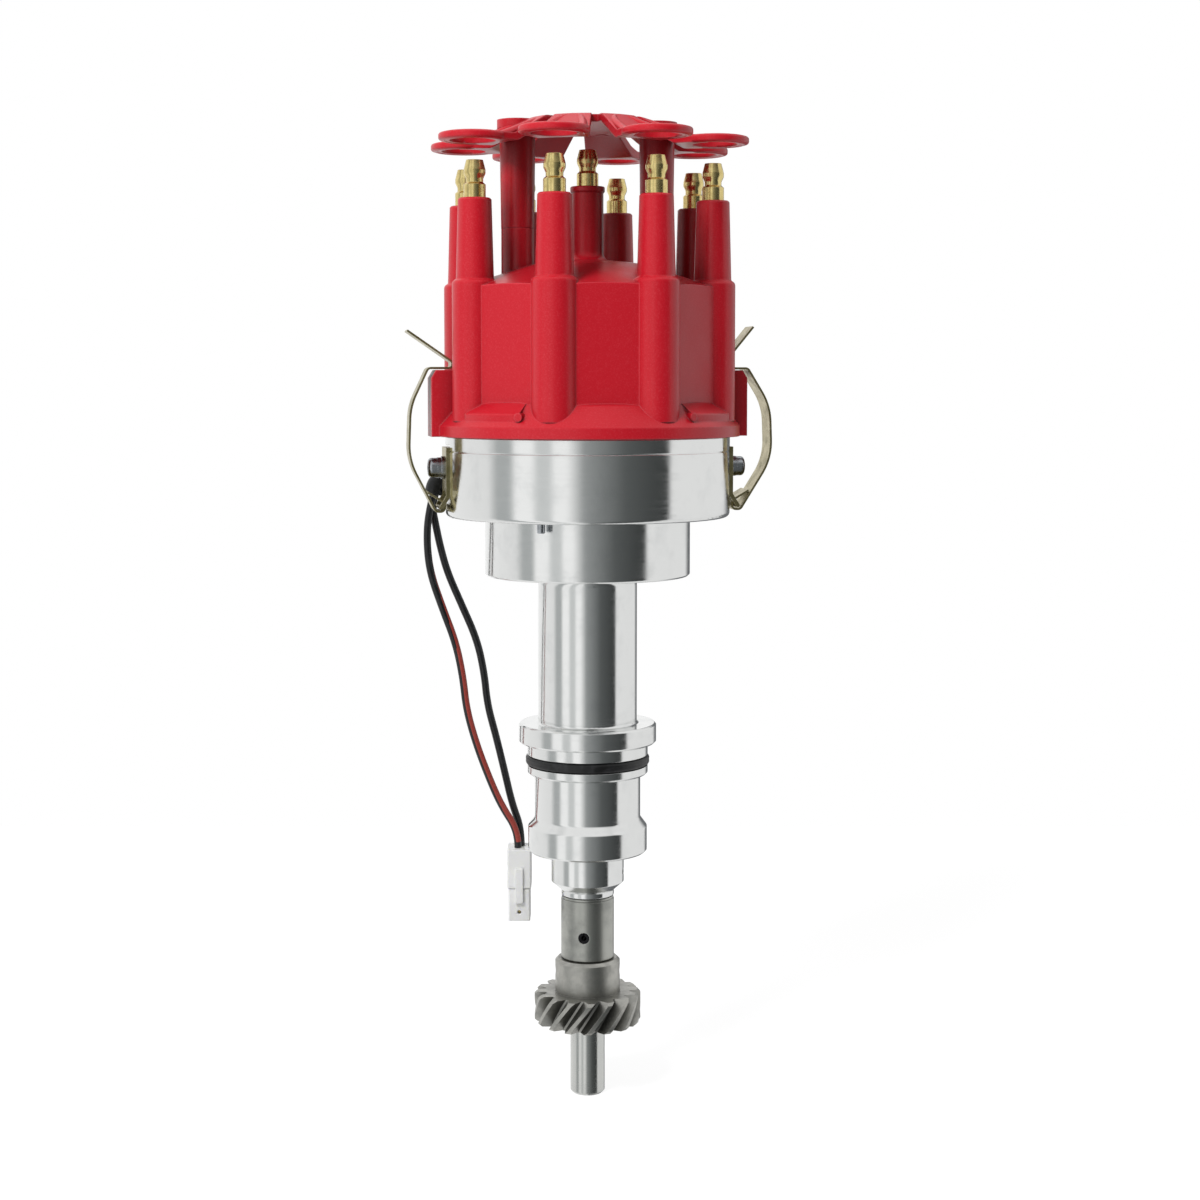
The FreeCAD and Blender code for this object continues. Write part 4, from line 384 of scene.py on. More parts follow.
@dataclass(frozen=True)
class WorkedMetal(Finish):
    """Metal that was stamped, drawn, sintered or cut, with an even skin of its own."""

    second_span: Span = (0.38, 0.66)
    gloss_swing: Span = (-0.08, 0.1)
    patch: float = 3.0

    def dress(self, tree: Tree, shader: Node, place: Socket) -> Patterns:
        """Draw patches of the second tone and a grain.

        Args:
            tree: Node tree of the material.
            shader: Its shader.
            place: Place on the piece, in millimetres.

        Returns:
            The patterns.
        """
        shader.inputs["Metallic"].default_value = 1.0
        patches = add_node(
            tree, "TexNoise",
            {"Vector": place, "Scale": 1 / self.patch, "Detail": 5.0, "Roughness": 0.6, "Distortion": 0.4},
        )
        grain = add_node(tree, "TexNoise", {"Vector": place, "Scale": 1 / self.grain, "Detail": 3.0})
        both = add_node(tree, "Math", {0: grain, 1: patches}, operation="ADD")
        return Patterns(patches.outputs[0], grain.outputs[0], both.outputs[0])


@dataclass(frozen=True)
class Elastomer(Finish):
    """Rubber or soft vinyl, dark and slightly dusty."""

    second_colour: str = "#55565a"
    second_share: float = 0.25
    second_span: Span = (0.5, 0.72)
    gloss_span: Span = (0.35, 0.7)
    gloss_swing: Span = (-0.06, 0.12)
    grain: float = 0.6
    grain_depth: float = 0.03
    dust_per_mm: float = 0.35

    def dress(self, tree: Tree, shader: Node, place: Socket) -> Patterns:
        """Draw dust, which dulls the gloss too, and a soft grain.

        Args:
            tree: Node tree of the material.
            shader: Its shader.
            place: Place on the piece, in millimetres.

        Returns:
            The patterns.
        """
        dust = add_node(
            tree, "TexNoise",
            {"Vector": place, "Scale": self.dust_per_mm, "Detail": 6.0, "Roughness": 0.65},
        )
        grain = add_node(tree, "TexNoise", {"Vector": place, "Scale": 1 / self.grain, "Detail": 2.0})
        return Patterns(dust.outputs[0], grain.outputs[0], dust.outputs[0])


@dataclass(frozen=True)
class ClearishPlastic(Finish):
    """Unfilled plastic with no pigment, which lets light a little way in."""

    clear_share: float = 0.05
    milk_share: float = 0.8
    depth: float = 0.3
    depth_by_colour: Point = (1.0, 1.0, 0.9)
    bending: float = 1.53
    streaks_per_mm: float = 0.5

    def dress(self, tree: Tree, shader: Node, place: Socket) -> Patterns:
        """Let light in, and draw faint flow marks.

        Args:
            tree: Node tree of the material.
            shader: Its shader.
            place: Place on the piece, in millimetres.

        Returns:
            The patterns, with none for the gloss.
        """
        shader.inputs["IOR"].default_value = self.bending
        shader.inputs["Transmission Weight"].default_value = self.clear_share
        shader.inputs["Subsurface Weight"].default_value = self.milk_share
        shader.inputs["Subsurface Scale"].default_value = self.depth * MM
        shader.inputs["Subsurface Radius"].default_value = self.depth_by_colour
        # The melt sets unevenly as it flows, which shows as milky streaks two millimetres wide.
        streaks = add_node(
            tree, "TexNoise",
            {"Vector": place, "Scale": self.streaks_per_mm, "Detail": 3.0, "Distortion": 1.2},
        )
        return Patterns(streaks.outputs[0], streaks.outputs[0])


# Glass filled polyester moulded red: an even strong red with pale specks, half gloss, soft edges.
RED_MOULDING = MouldedPlastic(
    name="polyester_moulded_red", colour="#cb1426", roughness=0.34, edge_radius=0.7,
    edge_colour="#e8606a", edge_share=0.45, second_colour="#dc4e58", second_share=0.3,
)
# Glass filled phenolic of the rotor, module and coil former: black, with grey specks and a soft gloss.
DARK_MOULDING = MouldedPlastic(
    name="phenolic_moulded_black", colour="#17181a", roughness=0.45, edge_radius=0.4,
    edge_colour="#4a4b4e", edge_share=0.4, second_colour="#3a3b3e", second_share=0.35, grain=0.3,
)
# Turned aluminium billet: a bright white metal whose fine rings draw highlights out up and down.
TURNED_ALUMINIUM = TurnedMetal(
    name="aluminium_turned", colour="#e8e9e8", roughness=0.15, stretch=0.35,
    edge_colour="#ffffff", edge_share=0.5, second_colour="#c3c6c7",
)
# Ground bearing steel: a cooler and darker mirror than the aluminium, with the rings of the wheel.
GROUND_STEEL = TurnedMetal(
    name="steel_ground", colour="#cdcecb", roughness=0.24, grain=0.5, grain_depth=0.002,
    edge_colour="#e8e8e6", second_colour="#a2a4a2",
)
# Turned carbon steel left dark by its heat treatment: dull grey with the tool's rings.
COLLAR_STEEL = TurnedMetal(
    name="steel_turned_dark", colour="#b5b6b0", roughness=0.42, grain=0.6, grain_depth=0.008,
    edge_colour="#c5c6c4", second_colour="#7c7d7b", second_share=0.6, stretch=0.5,
)
# Hobbed gear iron: grey, with painted shade in the gaps, and rubbed bright along each tooth's edges.
GEAR_IRON = WorkedMetal(
    name="iron_hobbed", colour="#b8b7b1", roughness=0.4, edge_radius=0.12, edge_colour="#d2d2ce",
    edge_share=0.3, second_colour="#8a8b88", second_share=0.4, patch=3.5, grain=0.3, grain_depth=0.006,
    painted_shade_reach=9.0, painted_shade_tone=0.35,
)
# Turned free-cutting brass: yellow, with a mirror that is only slightly brushed.
TURNED_BRASS = WorkedMetal(
    name="brass_turned", colour="#ead694", roughness=0.22, edge_radius=0.2, edge_colour="#f4e8c0",
    edge_share=0.5, second_colour="#b0985a", second_share=0.4, patch=1.6, grain=0.4, grain_depth=0.004,
)
# Sintered bronze: brown-gold and finely porous, matt with oil in its pores.
SINTERED_BRONZE = WorkedMetal(
    name="bronze_sintered", colour="#a67c46", roughness=0.46, edge_colour="#d8b27c",
    second_colour="#6b4c28", second_share=0.6, patch=0.8, grain=0.18, grain_depth=0.02,
)
# Stamped steel with a yellow chromate zinc plate: straw yellow with olive patches.
ZINC_PLATE = WorkedMetal(
    name="steel_zinc_chromate", colour="#b8ad84", roughness=0.3, edge_radius=0.15, edge_colour="#e9e3c6",
    edge_share=0.5, second_colour="#77703f", second_share=0.65, patch=4.0, grain=0.4, grain_depth=0.006,
)
# Cold headed steel with a clear zinc plate: a bluish white metal, for the screws and washers.
BRIGHT_ZINC = WorkedMetal(
    name="steel_zinc_clear", colour="#b9bdc1", roughness=0.28, edge_radius=0.2, edge_colour="#eef0f2",
    second_colour="#85898d", second_share=0.45, patch=1.5, grain=0.3, grain_depth=0.006,
)
# Drawn spring wire and blued strip: dark, smooth and lightly oiled.
SPRING_STEEL = WorkedMetal(
    name="steel_spring_drawn", colour="#8b8d90", roughness=0.24, edge_radius=0.1, edge_colour="#c8cacc",
    second_colour="#5a5c60", second_share=0.4, patch=1.2, grain=0.2, grain_depth=0.004,
)
# Carbon steel with a black oxide skin: nearly black, with a dull oily shine.
BLACK_OXIDE = WorkedMetal(
    name="steel_black_oxide", colour="#2b2b2d", roughness=0.4, edge_radius=0.15, edge_colour="#6a6b6e",
    second_colour="#161617", second_share=0.6, patch=1.0, grain=0.2, grain_depth=0.006,
)
# Pressed steel plate of the advance works: grey, rolled and lightly tumbled.
PRESSED_STEEL = WorkedMetal(
    name="steel_pressed", colour="#9fa2a4", roughness=0.36, edge_radius=0.25, edge_colour="#dcdddf",
    second_colour="#74777a", second_share=0.5, patch=3.5, grain=0.3, grain_depth=0.008,
)
# Nitrile rubber moulding: deep black, a little dusty, with a soft sheen.
NITRILE_RUBBER = Elastomer(
    name="rubber_moulded", colour="#0d0e0f", roughness=0.42, edge_colour="#3a3b3d", edge_share=0.25,
)
# Extruded vinyl insulation: black and smoother than rubber, with a waxy gloss.
BLACK_VINYL = Elastomer(
    name="vinyl_extruded_black", colour="#101113", roughness=0.34, edge_share=0.0, second_share=0.15,
    grain=0.9,
)
# The tracer that is run into the insulation: a dull brick red.
RED_VINYL = Elastomer(
    name="vinyl_extruded_red", colour="#9c3a30", roughness=0.38, edge_share=0.0,
    second_colour="#b0584c", second_share=0.3, grain=0.9,
)
# Pressed carbon: a grey-black that marks the hand, with the faint shine of graphite.
PRESSED_CARBON = MouldedPlastic(
    name="carbon_pressed", colour="#1c1d1f", roughness=0.5, edge_radius=0.3, edge_colour="#55565a",
    second_colour="#4a4c50", second_share=0.4, grain=0.2, grain_depth=0.015,
)
# Natural nylon moulding: milky white, softly lit from within, with a soft gloss.
NATURAL_NYLON = ClearishPlastic(
    name="nylon_moulded_natural", colour="#ffffff", roughness=0.3, edge_radius=0.5,
    edge_colour="#ffffff", edge_share=0.6, second_colour="#f8f9f3",
)


class Slot(Enum):
    """Material slots of the record that the new pieces are named for."""

    RED = "moulded_red"
    GEAR = "gear_iron"
    RUBBER = "black_rubber"
    SPRING = "spring_steel"
    LEAD = "lead_insulation"


class Body(Enum):
    """Bodies that the pieces ride on."""

    HOUSING = "housing_body"
    SHAFT = "shaft"
    ADVANCE = "advance_assembly"
    BRUSH = "brush"


def dress_nodes(finish: Finish, *nodes: str) -> None:
    """Give CAD nodes one finish.

    Args:
        finish: Their finish.
        nodes: Their names.
    """
    for node in nodes:
        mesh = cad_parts[node].data
        mesh.materials.clear()
        mesh.materials.append(finish.material())
        LOG.info("%s is %s", node, finish.name)


def add_piece(obj: bpy.types.Object, finish: Finish, slot: Slot, body: Body | None, *replaced: str) -> None:
    """Put a finished object into the scene as a piece of the part.

    Args:
        obj: Object with its place in its data.
        finish: Its finish.
        slot: Record slot of its finish; not used.
        body: Body that it rides on, or None to leave it unattached.
        replaced: CAD nodes that it stands for.
    """
    if obj.name not in bpy.context.scene.collection.objects:
        show(obj)
    obj.data.materials.append(finish.material())
    if body:
        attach(obj, body.value)
    if replaced:
        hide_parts(*replaced)
    LOG.info("%s is %s", obj.name, finish.name)


def mesh_object(name: str, shape: Shape, crease: float = 32.0) -> bpy.types.Object:
    """Turn a bmesh to an object with smooth faces and sharp creases.

    Args:
        name: Name of the object.
        shape: Its shape in metres, freed here.
        crease: Angle in degrees past which an edge stays sharp.

    Returns:
        The object, not yet in the scene.
    """
    bmesh.ops.remove_doubles(shape, verts=shape.verts, dist=MERGE_REACH * MM)
    bmesh.ops.recalc_face_normals(shape, faces=shape.faces)
    mesh = bpy.data.meshes.new(name)
    shape.to_mesh(mesh)
    shape.free()
    mesh.polygons.foreach_set("use_smooth", [True] * len(mesh.polygons))
    mesh.set_sharp_from_angle(angle=math.radians(crease))
    return bpy.data.objects.new(name, mesh)


def corner_at(shape: Shape, radius: float, turn: float, height: float) -> Corner:
    """Add a corner by its place round the shaft's axis.

    Args:
        shape: Shape that takes the corner.
        radius: Its distance from the axis in millimetres.
        turn: Its turn round the axis in radians.
        height: Its height in millimetres.

    Returns:
        The corner.
    """
    return shape.verts.new(Vector((radius * math.cos(turn), radius * math.sin(turn), height)) * MM)


def ring_of(shape: Shape, radius: float, height: float, points: int = 96) -> list[Corner]:
    """Draw a circle about the shaft's axis.

    Args:
        shape: Shape that takes its corners.
        radius: Radius of the circle in millimetres.
        height: Height of the circle in millimetres.
        points: Corners of the circle.

    Returns:
        The corners, in order round the axis.
    """
    return [corner_at(shape, radius, math.tau * step / points, height) for step in range(points)]


def join_loops(shape: Shape, low: Sequence[Corner], high: Sequence[Corner]) -> None:
    """Close the band between two loops that have as many corners.

    Args:
        shape: Shape that takes the faces.
        low: Corners of the first loop.
        high: Corners of the second loop.
    """
    for number, corner in enumerate(low):
        after = (number + 1) % len(low)
        shape.faces.new((corner, low[after], high[after], high[number]))


def bar_curve(
    name: str, kind: str, route: Sequence[Vector], radius: float, roundness: int
) -> bpy.types.Curve:
    """Lay a round bar along a route, with both ends closed.

    Args:
        name: Name of the curve.
        kind: "NURBS" for a smooth bar and "POLY" for a straight one from point to point.
        route: Points of the route in metres.
        radius: Radius of the bar in millimetres.
        roundness: How finely the bar's section is divided.

    Returns:
        The curve, with one spline.
    """
    curve = bpy.data.curves.new(name, "CURVE")
    curve.dimensions = "3D"
    curve.bevel_depth = radius * MM
    curve.bevel_resolution = roundness
    curve.use_fill_caps = True
    spline = curve.splines.new(kind)
    spline.points.add(len(route) - 1)
    for point, place in zip(spline.points, route):
        point.co = (*place, 1.0)
    spline.order_u = 3
    spline.use_endpoint_u = True
    return curve


def mesh_of(curve: bpy.types.Curve) -> bpy.types.Mesh:
    """Turn a curve to a mesh.

    Args:
        curve: The curve, removed here.

    Returns:
        The mesh.
    """
    carrier = bpy.data.objects.new("carrier", curve)
    mesh = bpy.data.meshes.new_from_object(carrier)
    bpy.data.objects.remove(carrier)
    bpy.data.curves.remove(curve)
    return mesh


@dataclass(frozen=True)
class Coil:
    """Spring wound from round wire at an even pitch, with plain ends, in millimetres."""

    coil_radius: float
    wire_radius: float
    turns: float
    steps: int = 18
    wire_sides: int = 8

    def build(self, name: str, start: Vector, end: Vector) -> bpy.types.Object:
        """Wind the spring between two points.

        Args:
            name: Name of the piece.
            start: First end of its axis in metres.
            end: Last end of its axis in metres.

        Returns:
            The object, not yet in the scene.
        """
        shape = bmesh.new()
        axis = end - start
        whole = round(self.turns * self.steps)
        upright = Matrix.Rotation(math.pi / 2, 3, "X")
        bmesh.ops.create_circle(shape, segments=self.wire_sides, radius=self.wire_radius * MM)
        bmesh.ops.rotate(shape, verts=shape.verts, cent=(0, 0, 0), matrix=upright)
        bmesh.ops.translate(shape, verts=shape.verts, vec=(self.coil_radius * MM, 0, 0))
        loop = list(shape.verts) + list(shape.edges)
        rise = (axis.length - 2 * self.wire_radius * MM) / whole
        bmesh.ops.spin(
            shape, geom=loop, cent=(0, 0, 0), axis=(0, 0, 1), dvec=(0, 0, rise),
            angle=math.tau * self.turns, steps=whole, use_merge=False,
        )
        bmesh.ops.holes_fill(shape, edges=[edge for edge in shape.edges if edge.is_boundary])
        bmesh.ops.translate(shape, verts=shape.verts, vec=(0, 0, self.wire_radius * MM))
        turn = axis.to_track_quat("Z", "Y").to_matrix()
        bmesh.ops.rotate(shape, verts=shape.verts, cent=(0, 0, 0), matrix=turn)
        bmesh.ops.translate(shape, verts=shape.verts, vec=start)
        return mesh_object(name, shape, BAR_CREASE)


@dataclass
class Studio:
    """White table, screens round the object, a soft lamp and the camera."""

    camera_distance: float = 690.0
    camera_height: float = 120.0
    camera_pitch: float = 4.0
    lens: float = 62.26
    sensor: float = 36.0
    nearest: float = 10.0
    shift_x: float = 0.0104
    shift_y: float = -0.06
    table_half: float = 420.0
    table_share: float = 0.66
    table_tone: str = "#f2f2f2"
    table_glow: float = 1.3
    fill_share: float = 0.55
    top_tone: str = "#f4f4f4"
    top_span: Span = (0.5, 0.85)
    # Tones of the screens by bearing in degrees: 0 is the camera's, and 90 is the right of the picture.
    screens: tuple[tuple[float, str], ...] = (
        (-180, "#ffffff"), (-86, "#ededed"), (-77, "#b2b5b5"), (-64, "#b2b5b5"), (-59, "#ffffff"),
        (-45, "#ffffff"), (-40, "#d2d4d4"), (-30, "#d2d4d4"), (-26, "#ffffff"), (-16, "#ffffff"),
        (-3, "#999c9c"), (30, "#5a5d5d"), (67, "#383a3a"), (70, "#f0f0f0"), (142, "#ececec"),
        (154, "#6c6e70"), (172, "#6c6e70"), (177, "#ffffff"), (180, "#ffffff"),
    )
    lamp_place: Point = (-350.0, -550.0, 650.0)
    lamp_aim_height: float = 120.0
    lamp_size: float = 260.0
    lamp_power: float = 5.0

    def build(self) -> None:
        """Set the table, the surroundings, the lamp and the camera."""
        self.place_camera()
        self.lay_table()
        self.light_surroundings()
        self.hang_lamp()
        bpy.context.scene.view_settings.view_transform = "Standard"

    def place_camera(self) -> None:
        """Put the camera at the photograph's place."""
        data = bpy.data.cameras.new("camera")
        data.lens = self.lens
        data.sensor_width = self.sensor
        data.shift_x = self.shift_x
        data.shift_y = self.shift_y
        data.clip_start = self.nearest * MM
        camera = bpy.data.objects.new("camera", data)
        camera.location = Vector((0, -self.camera_distance, self.camera_height)) * MM
        camera.rotation_euler = (math.radians(90 - self.camera_pitch), 0, 0)
        show(camera)
        bpy.context.scene.camera = camera

    def lay_table(self) -> None:
        """Lay the white table under the shaft's end."""
        shape = bmesh.new()
        bmesh.ops.create_grid(shape, x_segments=2, y_segments=2, size=self.table_half * MM)
        bmesh.ops.translate(shape, verts=shape.verts, vec=(0, 0, CAD_BOX[0][2]))
        table = mesh_object("table", shape)
        # Glossy white laminate: an even white ground that keeps the object's soft shadow.
        material = bpy.data.materials.new("table_white_laminate")
        tree = clear_tree(material)
        matt = add_node(tree, "BsdfDiffuse", {"Color": linear(self.table_tone)})
        lit = add_node(tree, "Emission", {"Color": (1, 1, 1, 1), "Strength": self.table_glow})
        seen = self.seen_directly(tree)
        white = add_node(tree, "MixShader", {0: seen, 1: matt, 2: lit})
        # Metal that looks down at the laminate sees the screens in it, at the bearing it looks to.
        surface = add_node(tree, "NewGeometry")
        way = add_node(
            tree, "VectorMath", {0: surface.outputs["Incoming"], "Scale": -1.0}, operation="SCALE"
        )
        mirrored = add_node(tree, "Emission", {"Color": self.screens_seen(tree, way.outputs[0])})
        path = add_node(tree, "LightPath")
        mixed = add_node(tree, "MixShader", {0: path.outputs["Is Glossy Ray"], 1: white, 2: mirrored})
        add_node(tree, "OutputMaterial", {"Surface": mixed})
        table.data.materials.append(material)
        show(table)

    def screens_seen(self, tree: Tree, way: Socket) -> Socket:
        """Find the tone of the screens in a direction, by its bearing from the camera and its height.

        Args:
            tree: Node tree that asks.
            way: Direction in which the screens are seen.

        Returns:
            Their tone.
        """
        parts = add_node(tree, "SeparateXYZ", {0: way})
        ahead = add_node(tree, "Math", {0: parts.outputs[1], 1: -1.0}, operation="MULTIPLY")
        bearing = add_node(tree, "Math", {0: parts, 1: ahead}, operation="ARCTAN2")
        share = add_node(tree, "MapRange", {"Value": bearing, "From Min": -math.pi, "From Max": math.pi})
        screens = add_node(tree, "ValToRGB", {0: share})
        ramp = screens.color_ramp
        while len(ramp.elements) > 1:
            ramp.elements.remove(ramp.elements[-1])
        ramp.elements[0].position = 0.0
        ramp.elements[0].color = linear(self.screens[0][1])
        for degrees, tone in self.screens[1:]:
            ramp.elements.new((degrees + 180) / 360).color = linear(tone)
        high = {"Value": parts.outputs[2], **ranges(self.top_span)}
        overhead = add_node(tree, "MapRange", high)
        dome = add_node(tree, "Mix", {0: overhead, 6: screens, 7: linear(self.top_tone)}, data_type="RGBA")
        return dome.outputs[2]

    def seen_directly(self, tree: Tree) -> Socket:
        """Find the rays that show the table: seen, mirrored or through clear plastic.

        Args:
            tree: Node tree that asks.

        Returns:
            The table's share of glow for such a ray, and 0 for any other.
        """
        path = add_node(tree, "LightPath")
        seen = add_node(
            tree, "Math",
            {0: path.outputs["Is Camera Ray"], 1: path.outputs["Is Glossy Ray"]}, operation="ADD",
        )
        through = add_node(
            tree, "Math", {0: seen, 1: path.outputs["Is Transmission Ray"]},
            operation="ADD", use_clamp=True,
        )
        shared = add_node(tree, "Math", {0: through, 1: self.table_share}, operation="MULTIPLY")
        return shared.outputs[0]

    def light_surroundings(self) -> None:
        """Ring the object with pale screens, dark from behind the camera to its right."""
        world = bpy.data.worlds.new("surroundings")
        tree = clear_tree(world)
        way = add_node(tree, "TexCoord")
        path = add_node(tree, "LightPath")
        shown = add_node(
            tree, "Mix",
            {0: path.outputs["Is Camera Ray"], 6: self.screens_seen(tree, way.outputs["Generated"]),
             7: (1, 1, 1, 1)},
            data_type="RGBA",
        )
        # The screens are less bright than they look in metal, so that the near lamp shapes the mouldings.
        light = add_node(
            tree, "MapRange",
            {"Value": path.outputs["Is Diffuse Ray"], "To Min": 1.0, "To Max": self.fill_share},
        )
        back = add_node(tree, "Background", {"Color": shown.outputs[2], "Strength": light})
        add_node(tree, "OutputWorld", {"Surface": back})
        bpy.context.scene.world = world

    def hang_lamp(self) -> None:
        """Hang a soft lamp over the left shoulder of the camera."""
        data = bpy.data.lights.new("key_lamp", "AREA")
        data.shape = "SQUARE"
        data.size = self.lamp_size * MM
        data.energy = self.lamp_power
        lamp = bpy.data.objects.new("key_lamp", data)
        lamp.location = Vector(self.lamp_place) * MM
        aim = Vector((0, 0, self.lamp_aim_height * MM)) - lamp.location
        lamp.rotation_euler = aim.to_track_quat("-Z", "Y").to_euler()
        lamp.visible_camera = False
        lamp.visible_glossy = False
        show(lamp)


@dataclass
class Leads:
    """Two insulated leads from the grommet to the connector that hangs on them."""

    diameter: float = 2.5
    roundness: int = 6
    smoothness: int = 20
    traced_start: Point = (-51.7870, 6.6836, 82.8999)
    traced_steps: tuple[Point, ...] = (
        (-1.8, 0.3, -6.8), (-2.4, 0.7, -16.4), (-1.4, 1.1, -26.9), (2.5, 1.5, -38.4), (7.2, 1.8, -50.9),
        (9.5, 2.1, -62.4), (10.6, 2.5, -73.4), (13.7, 3.0, -84.9), (17.8, 3.8, -96.4), (22.2, 4.9, -107.0),
    )
    traced_end: tuple[Point, ...] = ((-23.8524, 12.6651, -33.2001), (-23.8524, 12.6651, -39.0001))
    traced_length: float = 127.5
    black_start: Point = (-51.3177, 9.6466, 82.8999)
    black_steps: tuple[Point, ...] = (
        (-1.2, 0.2, -4.5), (-0.1, 0.4, -10.4), (1.4, 0.8, -17.9), (3.8, 1.2, -27.0), (8.5, 1.7, -37.9),
        (13.7, 2.2, -50.0), (16.1, 2.7, -61.4), (17.1, 3.2, -72.4), (20.0, 3.8, -83.4),
        (22.8, 4.5, -95.4), (25.4, 5.3, -107.2),
    )
    black_end: tuple[Point, ...] = ((-22.8524, 16.2651, -33.2001), (-22.8524, 16.2651, -39.0001))
    black_length: float = 126.4
    tracer_radius: float = 1.1
    tracer_proud: float = 0.12
    # Degrees that the tracer turns round its lead: from its start, quickly at first, slowly all along.
    tracer_from: float = -110.0
    tracer_turn: float = 140.0
    tracer_haste: float = 2.2
    tracer_drift: float = 30.0
    points_in_grommet: int = 2
    points_in_connector: int = 4

    def build(self) -> None:
        """Lay both leads and dress the grommet and the connector."""
        dress_nodes(NITRILE_RUBBER, "lead_grommet")
        dress_nodes(NATURAL_NYLON, "connector_shell")
        dress_nodes(TURNED_BRASS, "connector_contacts")
        traced = self.lay("lead_traced_wire", self.traced_start, self.traced_steps, self.traced_end)
        tracer = self.run_tracer(traced)
        add_piece(traced, BLACK_VINYL, Slot.LEAD, Body.HOUSING, "lead_traced")
        add_piece(tracer, RED_VINYL, Slot.LEAD, Body.HOUSING)
        black = self.lay("lead_black_wire", self.black_start, self.black_steps, self.black_end)
        add_piece(black, BLACK_VINYL, Slot.LEAD, Body.HOUSING, "lead_black")

    def lay(self, name: str, start: Point, steps: Sequence[Point], end: Sequence[Point]) -> bpy.types.Object:
        """Lay one lead as a smooth line through its route.

        Args:
            name: Name of the piece.
            start: Where it leaves the grommet, in millimetres.
            steps: Points of its route, each from the start.
            end: Last points of its route, in the connector's line.

        Returns:
            The lead's curve, not yet in the scene.
        """
        route = [Vector(start)] + [Vector(start) + Vector(step) for step in steps] + [Vector(p) for p in end]
        curve = bar_curve(name, "NURBS", [place * MM for place in route], self.diameter / 2, self.roundness)
        curve.resolution_u = self.smoothness
        return bpy.data.objects.new(name, curve)

    def run_tracer(self, lead: bpy.types.Object) -> bpy.types.Object:
        """Run the red tracer down the side of a lead, slowly turning round it.

        Args:
            lead: Curve of the lead.

        Returns:
            The tracer, not yet in the scene.
        """
        bare = lead.data.copy()
        bare.bevel_depth = 0.0
        line = mesh_of(bare)
        points = [vertex.co.copy() for vertex in line.vertices]
        bpy.data.meshes.remove(line)
        last = len(points) - self.points_in_connector
        reach = (self.diameter / 2 + self.tracer_proud - self.tracer_radius) * MM
        route = []
        for number in range(self.points_in_grommet, last):
            along = (points[number + 1] - points[number - 1]).normalized()
            side = along.cross(Vector((0, 1, 0))).normalized()
            front = side.cross(along)
            share = (number - self.points_in_grommet) / (last - self.points_in_grommet)
            quick = self.tracer_turn * min(1.0, self.tracer_haste * share)
            turn = math.radians(self.tracer_from + quick + self.tracer_drift * share)
            route.append(points[number] + (side * math.cos(turn) - front * math.sin(turn)) * reach)
        curve = bar_curve("lead_tracer", "POLY", route, self.tracer_radius, self.roundness)
        return bpy.data.objects.new("lead_tracer", curve)


@dataclass
class Cap:
    """Moulded cap with its brass terminals, carbon brush and brush spring."""

    brush_spring_radius: float = 1.85
    brush_wire_radius: float = 0.3
    brush_spring_turns: float = 7.0

    def build(self) -> None:
        """Dress the cap and wind its brush spring."""
        dress_nodes(RED_MOULDING, "cap")
        dress_nodes(TURNED_BRASS, "plug_terminals", "coil_terminal")
        dress_nodes(PRESSED_CARBON, "carbon_brush")
        low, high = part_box("brush_spring")
        bottom, top = Vector((0, 0, low.z)), Vector((0, 0, high.z))
        coil = Coil(self.brush_spring_radius, self.brush_wire_radius, self.brush_spring_turns)
        spring = coil.build("brush_spring_coil", bottom, top)
        add_piece(spring, SPRING_STEEL, Slot.SPRING, None, "brush_spring")
        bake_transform(spring)


@dataclass
class Retainer:
    """Ring of loops that holds the plug leads, on two legs that are screwed to the cap."""

    loops: int = 8
    first_azimuth: float = -14.1
    pitch_radius: float = 42.4
    loop_radius: float = 9.8
    bead_radius: float = 1.4
    loop_height: float = 198.2
    hub_radius: float = 19.6
    hub_half_gap: float = 3.4
    hub_height: float = 204.7
    arc_points: int = 17
    arc_half_turn: float = 128.0
    roundness: int = 4
    smoothness: int = 6

    def build(self) -> None:
        """Dress the retainer and lay a rounded bead round each arm and loop."""
        dress_nodes(RED_MOULDING, "wire_retainer")
        dress_nodes(BRIGHT_ZINC, "retainer_screws")
        shape = bmesh.new()
        for number in range(self.loops):
            curve = bar_curve("bead", "NURBS", self.bead_route(number), self.bead_radius, self.roundness)
            curve.resolution_u = self.smoothness
            curve.use_fill_caps = False
            curve.splines[0].use_cyclic_u = True
            curve.splines[0].use_endpoint_u = False
            bead = mesh_of(curve)
            shape.from_mesh(bead)
            bpy.data.meshes.remove(bead)
        beads = mesh_object("retainer_loop_beads", shape, BAR_CREASE)
        add_piece(beads, RED_MOULDING, Slot.RED, Body.HOUSING)

    def bead_route(self, number: int) -> list[Vector]:
        """Follow one arm from the hub, round its loop and back.

        Args:
            number: Number of the arm, counted round from the first.

        Returns:
            Closed route in metres.
        """
        turn = Matrix.Rotation(math.radians(self.first_azimuth + number * 360 / self.loops), 3, "Z")
        route = [(self.hub_half_gap, self.hub_radius, self.hub_height)]
        half = (self.arc_points - 1) / 2
        for step in range(self.arc_points):
            angle = math.radians(self.arc_half_turn * (1 - step / half))
            across = self.loop_radius * math.sin(angle)
            out = self.pitch_radius + self.loop_radius * math.cos(angle)
            route.append((across, out, self.loop_height))
        route.append((-self.hub_half_gap, self.hub_radius, self.hub_height))
        return [turn @ Vector((across, -out, height)) * MM for across, out, height in route]


